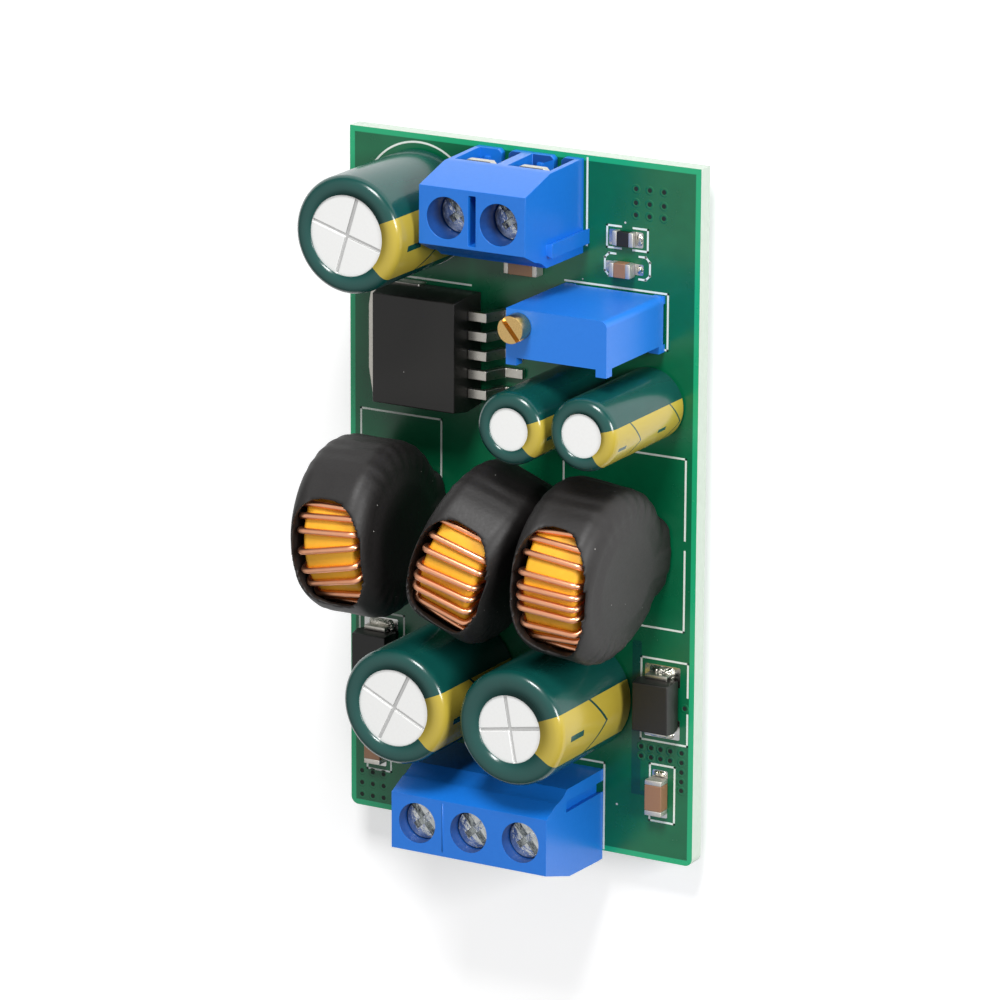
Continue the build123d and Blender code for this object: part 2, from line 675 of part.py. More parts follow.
def ring_point(choke, radius, across, angle):
    """Point on a choke's ring: angle 0 is the bottom, across runs along the ring's axis."""
    x, y = on_board(choke.x, choke.y, choke.turn, across, radius * sin(radians(angle)))
    return spot(x, y, choke.height - radius * cos(radians(angle))).origin


def build_core(choke):
    """Coated powdered iron ring, standing on its rim."""
    with BuildPart() as core:
        with BuildSketch(side_plane(choke.x, choke.y, choke.turn, -CORE_HALF)):
            with Locations((0, choke.height)):
                RegularPolygon(CORE_OUTER, CORE_SIDES)
        extrude(amount=2 * CORE_HALF)
        chamfer(core.faces().sort_by(SortBy.AREA)[-2:].edges(), CORE_EDGE)
        with BuildSketch(side_plane(choke.x, choke.y, choke.turn, -CORE_HALF)):
            with Locations((0, choke.height)):
                RegularPolygon(CORE_INNER, HIDDEN_SIDES, major_radius=False)
        extrude(amount=2 * CORE_HALF, mode=Mode.SUBTRACT)
    return core


def build_winding(choke):
    """One length of copper wire: a lead up from the board, the turns round the ring, a lead down."""
    inner = CORE_INNER - WIRE / 2 - HAIR
    outer = CORE_OUTER + WIRE / 2 + HAIR
    half = CORE_HALF + WIRE / 2 + HAIR
    step = WOUND_ARC / TURNS
    start = (360 - WOUND_ARC) / 2
    lead_in, lead_out = choke_lead_places(choke)
    points = [spot(*lead_in, -BOARD_THICK - LEAD_STUB).origin, spot(*lead_in, WIRE).origin]
    for k in range(TURNS):
        angle = start + k * step
        points += [
            ring_point(choke, outer, half, angle),
            ring_point(choke, outer, -half, angle + step / 2),
            ring_point(choke, inner, -half, angle + step / 2),
            ring_point(choke, inner, half, angle + step),
        ]
    end = start + WOUND_ARC
    points += [
        ring_point(choke, outer, half, end),
        ring_point(choke, outer, -half, end + step / 2),
        spot(*lead_out, WIRE).origin,
        spot(*lead_out, -BOARD_THICK - LEAD_STUB).origin,
    ]
    with BuildPart() as winding:
        with BuildLine() as path:
            Polyline(*points)
        with BuildSketch(Plane(origin=path.line @ 0, z_dir=path.line % 0)):
            RegularPolygon(WIRE / 2, WIRE_SIDES)
        sweep(path=path.line, transition=Transition.RIGHT)
    return winding


def wrap_outline(choke, grow):
    """Outline of the sleeve in the ring's plane: a heel on the board, and round over the crown."""
    radius = WRAP_RADIUS + grow
    heel = WRAP_HEEL + grow
    reach = 180 - degrees(asin(heel / radius))
    points = [(-heel, WRAP_BASE)]
    for k in range(WRAP_STEPS + 1):
        angle = radians(reach * (2 * k / WRAP_STEPS - 1))
        points.append((radius * sin(angle), choke.height + radius * cos(angle)))
    return points + [(heel, WRAP_BASE)]


def build_wrap(choke):
    """Heat-shrunk sleeve: closed round the ring's rim, with an oval mouth at the crown."""
    with BuildPart() as wrap:
        for grow, edge, mode in ((WRAP_WALL, WRAP_EDGE, Mode.ADD), (0.0, WRAP_INNER_EDGE, Mode.SUBTRACT)):
            half = WRAP_HALF + grow
            with BuildPart(mode=mode) as body:
                with BuildSketch(side_plane(choke.x, choke.y, choke.turn, -half)):
                    Polygon(*wrap_outline(choke, grow), align=None)
                extrude(amount=2 * half)
                broad_sides = body.faces().sort_by(SortBy.AREA)[-2:]
                above_board = [e for e in broad_sides.edges() if e.center().Z > FACE + WRAP_BASE + HAIR]
                chamfer(above_board, edge)
        crown = choke.height + WRAP_RADIUS + WRAP_WALL
        with BuildSketch(spot(choke.x, choke.y, crown, choke.turn)):
            with Locations((0, MOUTH_SHIFT)):
                SlotOverall(MOUTH_LENGTH, MOUTH_WIDTH, rotation=90)
        extrude(amount=-MOUTH_DEPTH, mode=Mode.SUBTRACT)
    return wrap


for choke in CHOKES:
    pieces = {"core": build_core(choke), "winding": build_winding(choke), "sleeve": build_wrap(choke)}
    for kind, piece in pieces.items():
        piece.part.label = f"{choke.name}_{kind}"
        export_step(piece.part, f"parts/{piece.part.label}.step")


# Diodes: tapered bodies with a folded lead at each end
for name, x, y in DIODES:
    with BuildPart() as diode_body:
        with BuildSketch(spot(x, y, DIODE_PARTING)):
            Rectangle(DIODE_WIDTH, DIODE_LENGTH)
        extrude(amount=DIODE_TOP - DIODE_PARTING, taper=DIODE_TAPER)
        with BuildSketch(spot(x, y, DIODE_PARTING)):
            Rectangle(DIODE_WIDTH, DIODE_LENGTH)
        extrude(amount=-(DIODE_PARTING - DIODE_LIFT - DIODE_LEAD_THICK), taper=DIODE_TAPER)
    diode_body.part.label = f"{name}_body"
    export_step(diode_body.part, f"parts/{diode_body.part.label}.step")

with BuildPart() as diode_leads:
    for name, x, y in DIODES:
        for turn in (0.0, 180.0):
            with BuildSketch(side_plane(x, y, turn, -DIODE_LEAD_WIDTH / 2)):
                end = DIODE_LENGTH / 2
                with BuildLine():
                    Polyline(
                        (end, DIODE_PARTING),
                        (end + DIODE_LEAD_REACH, DIODE_PARTING),
                        (end + DIODE_LEAD_REACH, 0),
                        (end - DIODE_LEAD_FOOT, 0),
                        (end - DIODE_LEAD_FOOT, DIODE_LEAD_THICK),
                        (end + DIODE_LEAD_REACH - DIODE_LEAD_THICK, DIODE_LEAD_THICK),
                        (end + DIODE_LEAD_REACH - DIODE_LEAD_THICK, DIODE_PARTING - DIODE_LEAD_THICK),
                        (end, DIODE_PARTING - DIODE_LEAD_THICK),
                        close=True,
                    )
                make_face()
            extrude(amount=DIODE_LEAD_WIDTH)

diode_leads.part.label = "diode_leads"
export_step(diode_leads.part, "parts/diode_leads.step")


with BuildPart() as ceramic_capacitor_bodies:
    for chip in CERAMIC_CAPACITORS:
        with BuildSketch(spot(chip.x, chip.y, CHIP_STANDOFF, chip.turn)):
            Rectangle(chip.length - 2 * END_CAP, chip.width)
        extrude(amount=chip.height)

ceramic_capacitor_bodies.part.label = "ceramic_capacitor_bodies"
export_step(ceramic_capacitor_bodies.part, "parts/ceramic_capacitor_bodies.step")

with BuildPart() as resistor_body:
    with BuildSketch(spot(RESISTOR.x, RESISTOR.y, CHIP_STANDOFF, RESISTOR.turn)):
        Rectangle(RESISTOR.length - 2 * END_CAP, RESISTOR.width)
    extrude(amount=RESISTOR.height)

resistor_body.part.label = "resistor_body"
export_step(resistor_body.part, "parts/resistor_body.step")

with BuildPart() as chip_part_ends:
    for chip in CERAMIC_CAPACITORS + (RESISTOR,):
        with BuildSketch(spot(chip.x, chip.y, CHIP_STANDOFF, chip.turn)):
            with GridLocations(chip.length - END_CAP, 0, 2, 1):
                Rectangle(END_CAP, chip.width)
        extrude(amount=chip.height)

chip_part_ends.part.label = "chip_part_ends"
export_step(chip_part_ends.part, "parts/chip_part_ends.step")
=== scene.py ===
import logging
import math
from dataclasses import dataclass, replace
from enum import Enum
from functools import partial
from itertools import pairwise, product
from typing import Any, Callable, Sequence

import bmesh
import bpy
from bmesh.types import BMesh, BMVert
from bpy.types import Material, Mesh, Node, NodeSocket, NodeTree, Object, World
from mathutils import Matrix, Vector, noise


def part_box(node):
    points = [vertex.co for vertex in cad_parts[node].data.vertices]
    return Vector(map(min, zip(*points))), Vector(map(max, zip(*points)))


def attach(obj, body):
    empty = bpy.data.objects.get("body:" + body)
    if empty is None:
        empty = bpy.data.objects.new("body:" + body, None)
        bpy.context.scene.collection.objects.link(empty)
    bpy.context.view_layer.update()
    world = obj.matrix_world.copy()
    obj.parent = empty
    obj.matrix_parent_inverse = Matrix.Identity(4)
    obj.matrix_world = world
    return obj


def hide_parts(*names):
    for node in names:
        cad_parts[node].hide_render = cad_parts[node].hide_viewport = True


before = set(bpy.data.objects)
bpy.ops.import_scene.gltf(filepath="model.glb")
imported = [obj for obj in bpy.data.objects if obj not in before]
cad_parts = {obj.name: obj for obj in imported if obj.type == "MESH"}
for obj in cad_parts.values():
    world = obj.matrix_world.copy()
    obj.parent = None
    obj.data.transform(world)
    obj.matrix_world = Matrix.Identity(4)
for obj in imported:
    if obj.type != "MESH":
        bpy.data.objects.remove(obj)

log = logging.getLogger("converter_module")
MM = 0.001
WELD = 2e-6   # corners nearer than this, in metres, are one corner
FLAT = 0.4    # faces that meet at less than this, in degrees, are one face
MODULE = "module"
Point = tuple[float, float]
Triple = tuple[float, float, float]
Quad = tuple[float, float, float, float]


# Helpers for colours, nodes and meshes. The shapes' sizes are in millimetres.


def linear(colour: str) -> Quad:
    """Turns an sRGB hex colour into the linear one that shaders take.

    Args:
        colour: six hex digits, such as "2e8b68".

    Returns:
        Linear red, green, blue and an alpha of 1.
    """
    channels = [int(colour[i:i + 2], 16) / 255 for i in (0, 2, 4)]
    r, g, b = (c / 12.92 if c <= 0.04045 else ((c + 0.055) / 1.055) ** 2.4 for c in channels)
    return r, g, b, 1.0


def ramp(value: float, start: float, end: float) -> float:
    """How far a value has come from a start to an end, as a share from 0 to 1."""
    return min(1.0, max(0.0, (value - start) / (end - start)))


def add_node(tree: NodeTree, kind: str, inputs: dict[str | int, Any] | Sequence[Any] = (),
             **settings: Any) -> Node:
    """Adds one node with its settings, and sets or links its inputs.

    Args:
        tree: the tree that takes it.
        kind: the node's type name, without its leading "ShaderNode".
        inputs: values in order, or by input name or index. A socket is linked, and so is the
            first output of a node.
        settings: attributes of the node itself.

    Returns:
        The new node.
    """
    node = tree.nodes.new(f"ShaderNode{kind}")
    for key, value in settings.items():
        setattr(node, key, value)
    for key, value in inputs.items() if isinstance(inputs, dict) else enumerate(inputs):
        if isinstance(value, Node):
            value = value.outputs[0]
        if isinstance(value, NodeSocket):
            tree.links.new(value, node.inputs[key])
        else:
            node.inputs[key].default_value = value
    return node


def adder(owner: Material | World) -> Callable[..., Node]:
    """Empties a material's or a world's node tree, and gives the function that adds nodes to it."""
    owner.use_nodes = True
    owner.node_tree.nodes.clear()
    return partial(add_node, owner.node_tree)


def link_object(name: str, data: Any) -> Object:
    """Makes an object of a mesh, curve, lamp or camera, linked into the scene."""
    obj = bpy.data.objects.new(name, data)
    bpy.context.scene.collection.objects.link(obj)
    return obj


def mesh_object(name: str, bm: BMesh, smooth: bool = True) -> Object:
    """Makes an object of a finished bmesh.

    Args:
        name: the piece's name.
        bm: its geometry in metres, which is freed.
        smooth: whether its faces are shaded smooth.

    Returns:
        The new object, linked into the scene.
    """
    bmesh.ops.recalc_face_normals(bm, faces=bm.faces)
    for face in bm.faces:
        face.smooth = smooth
    mesh = bpy.data.meshes.new(name)
    bm.to_mesh(mesh)
    bm.free()
    return link_object(name, mesh)


def evaluated_mesh(obj: Object) -> Mesh:
    """The mesh that an object's modifiers, or a curve's bevel, give it."""
    return bpy.data.meshes.new_from_object(obj.evaluated_get(bpy.context.evaluated_depsgraph_get()))


def settle(obj: Object) -> None:
    """Applies an object's modifiers to its mesh."""
    mesh = evaluated_mesh(obj)
    obj.modifiers.clear()
    obj.data = mesh


def welded_node(node: str) -> BMesh:
    """Copies a frame node's mesh, with its split corners joined."""
    bm = bmesh.new()
    bm.from_mesh(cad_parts[node].data)
    bmesh.ops.remove_doubles(bm, verts=bm.verts, dist=WELD)
    return bm


def bridge_rings(bm: BMesh, rings: Sequence[Sequence[BMVert]], closed: bool = False) -> None:
    """Joins rings of vertices in order, each with the next, with faces.

    Args:
        bm: the bmesh that holds the rings.
        rings: rings of equal length, or single points at the ends.
        closed: whether the last ring is joined to the first.
    """
    pairs = list(pairwise(rings))
    if closed:
        pairs.append((rings[-1], rings[0]))
    for low, high in pairs:
        count = max(len(low), len(high))
        for k in range(count):
            n = (k + 1) % count
            corners = [low[k % len(low)], low[n % len(low)], high[n % len(high)], high[k % len(high)]]
            unique = list(dict.fromkeys(corners))
            if len(unique) > 2:
                bm.faces.new(unique)


def lathe(profile: Sequence[Point], segments: int, centre: Vector = Vector(),
          into: BMesh | None = None, closed: bool = False) -> BMesh:
    """Turns a profile round a vertical axis.

    Args:
        profile: points (radius, height) along the outline; a radius of 0 closes it.
        segments: steps round the axis.
        centre: the axis's foot, in metres.
        into: the bmesh that takes the surface, or none for a new one.
        closed: whether the profile's last point is joined to its first.

    Returns:
        The bmesh with the turned surface.
    """
    bm = bmesh.new() if into is None else into
    rings = []
    for radius, height in profile:
        angles = [math.tau * k / segments for k in range(segments if radius > 0 else 1)]
        rings.append([bm.verts.new(centre + Vector((radius * math.cos(a), radius * math.sin(a), height)) * MM)
                      for a in angles])
    bridge_rings(bm, rings, closed)
    return bm


def rounded_rectangle(half_x: float, half_y: float, radius: float, steps: int = 4) -> list[Point]:
    """Points round a rectangle with rounded corners, centred on zero, anticlockwise.

    Args:
        half_x: half its width.
        half_y: half its depth.
        radius: radius of its corners.
        steps: steps round each corner.

    Returns:
        The points.
    """
    radius = min(radius, half_x, half_y)
    points = []
    for quarter, (sx, sy) in enumerate(((1, 1), (-1, 1), (-1, -1), (1, -1))):
        for k in range(steps + 1):
            a = math.radians(90 * quarter + 90 * k / steps)
            points.append((sx * (half_x - radius) + radius * math.cos(a),
                           sy * (half_y - radius) + radius * math.sin(a)))
    return points


def add_slab(bm: BMesh, outline: Sequence[Point], low: float, high: float,
             place: Matrix = Matrix()) -> None:
    """Adds a flat slab over an outline, between two heights.

    Args:
        bm: the bmesh that takes it.
        outline: its corners in order.
        low: height of its underside.
        high: height of its top.
        place: the frame in metres that it stands in.
    """
    bottom, top = ([bm.verts.new(place @ (Vector((x, y, z)) * MM)) for x, y in outline]
                   for z in (low, high))
    bridge_rings(bm, [bottom, top])
    bm.faces.new(top)
    bm.faces.new(bottom[::-1])


# Finishes


class Slot(Enum):
    """Material slots of the record."""

    MASK = "solder_mask"
    BLUE = "blue_plastic"
    TRIMMER = "trimmer_plastic"
    BRASS = "brass"
    TIN = "tinned_metal"
    STEEL = "plated_steel"
    EPOXY = "moulded_epoxy"
    FILM = "capacitor_sleeve"
    CAN = "aluminium_can"
    RUBBER = "rubber_bung"
    CORE = "coated_core"
    COPPER = "copper_wire"
    SHRINK = "heat_shrink"
    CERAMIC = "chip_ceramic"


DUST_COLOUR = "c9c6c2"
SPECK_SIZE = 0.05   # radius of a speck, as a share of its cell
CLEAN_CELLS = 0.8   # share of the cells that hold no speck


@dataclass(frozen=True)
class Finish:
    """A surface with a fine grain that varies its colour, gloss and height a little.

    Sizes are in millimetres; colours are sRGB hex.
    """

    name: str
    slot: Slot
    colour: str
    second: str
    grain: float
    relief: float = 0.0
    roughness: float = 0.4
    gloss_change: float = 0.05
    metallic: float = 0.0
    ior: float = 1.5
    coat: float = 0.0
    dust: float = 0.0
    stretch: Triple = (1.0, 1.0, 1.0)

    def build(self) -> Material:
        """Builds the material, once for each name."""
        known = bpy.data.materials.get(self.name)
        if known:
            return known
        material = bpy.data.materials.new(self.name)
        add = adder(material)
        place = add("TexCoord").outputs["Object"]
        scaled = add("Mapping", {"Vector": place, "Scale": self.stretch})
        grain = add("TexNoise", {"Vector": scaled, "Scale": 1 / (self.grain * MM), "Detail": 4.0})
        colour = linear(self.colour)
        for share, mark in ((grain, self.second), *self.marks(add, place)):
            mix = add("Mix", {0: share, 6: colour, 7: linear(mark)}, data_type="RGBA")
            colour = mix.outputs[2]
        gloss = add("MapRange", {
            "Value": grain, "To Min": max(0.02, self.roughness - self.gloss_change),
            "To Max": min(1.0, self.roughness + self.gloss_change)})
        inputs = {"Metallic": self.metallic, "Coat Weight": self.coat,
                  "Base Color": colour, "Roughness": gloss}
        if self.metallic < 1:
            inputs["IOR"] = self.ior
        if self.relief:
            inputs["Normal"] = add("Bump", {"Distance": self.relief * MM, "Height": grain})
        add("OutputMaterial", {"Surface": add("BsdfPrincipled", inputs)})
        return material

    def marks(self, add: Callable[..., Node], place: NodeSocket) -> list[tuple[Node, str]]:
        """What lies over the finish's own colour: specks of dust, in some cells of a Voronoi pattern.

        Args:
            add: adds a node to the material's tree.
            place: the point's place on the object.

        Returns:
            For each mark, the node that gives its share of the colour, and its colour.
        """
        if not self.dust:
            return []
        cells = add("TexVoronoi", {"Vector": place, "Scale": 1 / (self.dust * MM)}).outputs
        near = add("Math", (cells["Distance"], SPECK_SIZE), operation="LESS_THAN")
        chance = add("SeparateColor", (cells["Color"],)).outputs["Red"]
        dusty = add("Math", (chance, CLEAN_CELLS), operation="GREATER_THAN")
        return [(add("Math", (near, dusty), operation="MULTIPLY"), DUST_COLOUR)]


@dataclass(frozen=True)
class Metal(Finish):
    """A bare metal's surface, which keeps the default IOR."""

    metallic: float = 1.0


# Moulded polyamide: satin, with a fine texture from the mould and a slightly milky blue.
BLUE_POLYAMIDE = Finish("blue_polyamide", Slot.BLUE, "1872d2", "146bca", 0.35, 0.004, 0.3, 0.04, ior=1.53)
# The same polyamide on the walls of the screw wells: rougher where the core pins drew out, and a darker blue
# that is painted shade inside the wells.
SHADED_WELL_POLYAMIDE = Finish("blue_polyamide_painted_well_shade", Slot.BLUE, "0f4a96", "0d4289", 0.35, 0.006, 0.45, 0.04,
                        ior=1.53)
# Moulded thermoset of the trimmer: the same blue, a little smoother.
BLUE_THERMOSET = Finish("blue_thermoset", Slot.TRIMMER, "1f78da", "1b72d4", 0.3, 0.003, 0.38, 0.04, ior=1.55)
# Moulded epoxy with a fine eroded texture, nearly black, which scatters the light softly.
MOULDED_EPOXY = Finish("eroded_black_epoxy", Slot.EPOXY, "1a1816", "141311", 0.12, 0.008, 0.42, dust=0.9)
# Tin plate on copper strip: pale, a little milky and faintly rubbed along the strip.
TIN_PLATE = Metal("tin_plate", Slot.TIN, "cfccc4", "b9b5ac", 0.18, 0.003, 0.30, 0.08)
# Solder that set with a bright, slightly rippled skin.
BRIGHT_SOLDER = Metal("bright_solder", Slot.TIN, "d6d6d4", "bcbcba", 0.5, 0.02, 0.22, 0.08)
# Matt tin on the ends of the chip parts, baked on and dull.
BAKED_TIN = Metal("baked_tin", Slot.TIN, "dedbd4", "c6c1b8", 0.15, 0.01, 0.55, 0.08)
# Solder that froze over a pool: almost a mirror, with hollows that catch dark and light.
POOLED_SOLDER = Metal("pooled_solder", Slot.TIN, "e2e0da", "c9c3b2", 0.55, 0.35, 0.1, 0.05)
# Zinc-plated screw steel, tumbled bright, with small scratches.
ZINC_STEEL = Metal("zinc_plated_steel", Slot.STEEL, "e4e6e6", "a6acac", 0.6, 0.13, 0.16, 0.08)
# Turned brass, bright with faint tool lines.
TURNED_BRASS = Metal("turned_brass", Slot.BRASS, "e0c083", "cfa868", 0.06, 0.002, 0.28, 0.06,
                     stretch=(1.0, 1.0, 6.0))
# Drawn aluminium can, etched pale, with tiny scuffs.
DRAWN_ALUMINIUM = Metal("drawn_aluminium", Slot.CAN, "fbfbfa", "f0f0ef", 0.35, 0.004, 0.72, 0.08)
# The same aluminium where the score was pressed in: duller, and greyer as painted shade in the groove.
SHADED_SCORE_ALUMINIUM = Metal("aluminium_painted_score_shade", Slot.CAN, "dcdcdb", "cfcfce", 0.2, 0.004, 0.6, 0.08)
# Enamelled copper wire: glossy varnish over bright pink copper.
ENAMELLED_COPPER = Metal("enamelled_copper", Slot.COPPER, "ffbf97", "fca678", 0.5, 0.0, 0.33, 0.05, coat=0.6)
# Powder-coated iron ring: amber yellow with a fine orange peel.
COATED_IRON = Finish("powder_coated_iron", Slot.CORE, "f7bd36", "eead28", 0.5, 0.012, 0.42, 0.06)
# Heat-shrunk polyolefin: matt charcoal, dusty, with fine creases round the bend.
SHRUNK_POLYOLEFIN = Finish("shrunk_polyolefin", Slot.SHRINK, "141212", "1c1918", 0.3, 0.014, 0.53, 0.06,
                           dust=0.9)
# Sintered ceramic chip body, warm brown, fine and dull.
SINTERED_CERAMIC = Finish("sintered_ceramic", Slot.CERAMIC, "9a6f52", "85603f", 0.1, 0.004, 0.45, ior=1.7)
# Bung of black rubber, dull.
BUNG_RUBBER = Finish("bung_rubber", Slot.RUBBER, "1a1a1a", "242424", 0.3, 0.01, 0.7, 0.05)
# Inside of a drilled hole: a flat dark disc, painted shade of the hole.
VIA_HOLE_SHADE = Finish("via_hole_painted_shade", Slot.MASK, "04180f", "03120b", 0.2, 0.0, 0.8, 0.05)
# Screen-printed epoxy ink: white, slightly uneven in its cover.
PRINTED_INK = Finish("printed_ink", Slot.MASK, "e6ece6", "cfd9d0", 0.2, 0.004, 0.5, 0.06)
# Glass-filled epoxy at the routed edge: pale and fibrous along the weave.
ROUTED_LAMINATE = Finish("routed_laminate", Slot.MASK, "d2ddd2", "bac8ba", 0.12, 0.01, 0.7, 0.08,
                         stretch=(0.25, 0.25, 3.0))


@dataclass(frozen=True)
class SolderMask(Finish):
    """Green solder mask: deep over copper, brighter in a thin line where the copper stops.

    The board's middle and half its size are in metres.
    """

    edge_colour: str = "1aa36f"
    edge_width: float = 0.45
    edge_blur: float = 0.08
    middle: Triple = (0.0, 0.000385, 0.0)
    half: Triple = (0.01702, 0.030685, 0.0)

    def marks(self, add: Callable[..., Node], place: NodeSocket) -> list[tuple[Node, str]]:
        """The bright rim that bare laminate gives along the board's edge, and the dust on it."""
        off = add("VectorMath", (place, self.middle), operation="SUBTRACT")
        across = add("VectorMath", (off,), operation="ABSOLUTE")
        inside = add("VectorMath", (self.half, across), operation="SUBTRACT")
        x, y, _ = add("SeparateXYZ", (inside,)).outputs
        nearest = add("Math", (x, y), operation="MINIMUM")
        rim = add("MapRange", {
            "Value": nearest, "From Min": (self.edge_width + self.edge_blur) * MM,
            "From Max": self.edge_width * MM}, interpolation_type="SMOOTHSTEP")
        return [(rim, self.edge_colour), *super().marks(add, place)]


# Sprayed and cured photoimageable mask: glossy, wavy where it runs over the copper beneath.
GREEN_MASK = SolderMask("green_solder_mask", Slot.MASK, "046a43", "035636", 2.2, 0.01, 0.26, ior=1.52,
                        dust=2.0)
# The same mask where it runs down into a gap between copper areas: darker and bluer.
GAP_MASK = Finish("solder_mask_in_gap", Slot.MASK, "045143", "03453a", 2.2, 0.01, 0.26, 0.05, ior=1.52)


@dataclass(frozen=True)
class CapacitorFilm(Finish):
    """Printed sleeve film: dark teal with a gold stripe, crossed by dashes and chevrons in turn.

    The marks' places are shares of the sleeve's radius, measured down from its crown. A chevron's
    tip points to the foot, and its arms rise by chevron_rise radii for each radian.
    """

    gold: str = "b7a23c"
    facing: float = 0.0
    half_angle: float = 28.0
    radius: float = 5.1
    top: float = 12.4
    pitch: float = 2.2
    dash_place: float = 0.55
    dash_length: float = 0.22
    dash_angle: float = 3.0
    chevron_place: float = 1.57
    chevron_line: float = 0.032
    chevron_rise: float = 1.0

    def marks(self, add: Callable[..., Node], place: NodeSocket) -> list[tuple[Node, str]]:
        """The stripe's gold, which leaves out the dashes and chevrons down its middle."""
        unit = self.radius * MM
        x, y, z = add("SeparateXYZ", (place,)).outputs
        angle = add("Math", (y, x), operation="ARCTAN2")
        off = add("Math", (angle, math.radians(self.facing)), operation="SUBTRACT")
        apart = add("Math", (off,), operation="ABSOLUTE")
        inside, middle = (add("Math", (apart, math.radians(reach)), operation="LESS_THAN")
                          for reach in (self.half_angle, self.dash_angle))
        depth = add("Math", (self.top * MM, z), operation="SUBTRACT")
        slanted = add("Math", (apart, self.chevron_rise * unit, depth), operation="MULTIPLY_ADD")
        lines = []
        for run, start, reach in ((depth, self.dash_place, self.dash_length),
                                  (slanted, self.chevron_place, self.chevron_line)):
            wave = add("Math", (run, self.pitch * unit), operation="MODULO")
            lines.append(add("Math", (wave, start * unit, reach * unit), operation="COMPARE"))
        dash = add("Math", (middle, lines[0]), operation="MULTIPLY")
        marks = add("Math", (dash, lines[1]), operation="MAXIMUM")
        band = add("Math", (inside, marks), operation="SUBTRACT", use_clamp=True)
        return [(band, self.gold)]


# Printed film, heat-shrunk on and drawn smooth: glossy, with a hint of the can's drawing lines.
TEAL_FILM = CapacitorFilm("shrunk_film", Slot.FILM, "0c4a44", "0a413d", 1.5, 0.004, 0.22, 0.04, coat=0.15)


# Sub-assemblies


def dress(obj: Object, finish: Finish, body: str = MODULE, nodes: Sequence[str] = ()) -> Object:
    """Gives a piece its material and body, and hides the frame nodes it stands for.

    Args:
        obj: the piece.
        finish: its finish.
        body: the body that it rides on.
        nodes: frame nodes that it replaces.

    Returns:
        The same piece.
    """
    obj.data.materials.clear()
    obj.data.materials.append(finish.build())
    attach(obj, body)
    if nodes:
        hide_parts(*nodes)
    log.info("%s: %d faces", obj.name, len(obj.data.polygons))
    return obj


def dressed_copy(node: str, name: str, radius: float, finish: Finish, body: str = MODULE,
                 segments: int = 3, sharper_than: float = 30.0) -> Object:
    """Copies a frame node into a new piece in its place, rounds its edges and dresses it.

    Args:
        node: the frame node that the piece replaces.
        name: the piece's name.
        radius: width of the rounding in mm; 0 leaves the edges sharp.
        finish: its finish.
        body: the body that it rides on.
        segments: steps across the rounding.
        sharper_than: the least angle in degrees that counts as an edge.

    Returns:
        The new piece.
    """
    bm = welded_node(node)
    bmesh.ops.dissolve_limit(bm, angle_limit=math.radians(FLAT), verts=bm.verts, edges=bm.edges)
    piece = mesh_object(name, bm)
    if radius:
        bevel = piece.modifiers.new("rounding", "BEVEL")
        bevel.width = radius * MM
        bevel.segments = segments
        bevel.limit_method = "ANGLE"
        bevel.angle_limit = math.radians(sharper_than)
        bevel.miter_outer = "MITER_ARC"
        piece.modifiers.new("normals", "WEIGHTED_NORMAL").keep_sharp = True
        settle(piece)
    return dress(piece, finish, body, [node])


def at(x: float, y: float) -> Vector:
    """Place on the board's top, in metres, from millimetres measured at its lower left corner."""
    low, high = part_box("circuit_board")
    return Vector((low.x + x * MM, low.y + y * MM, high.z))


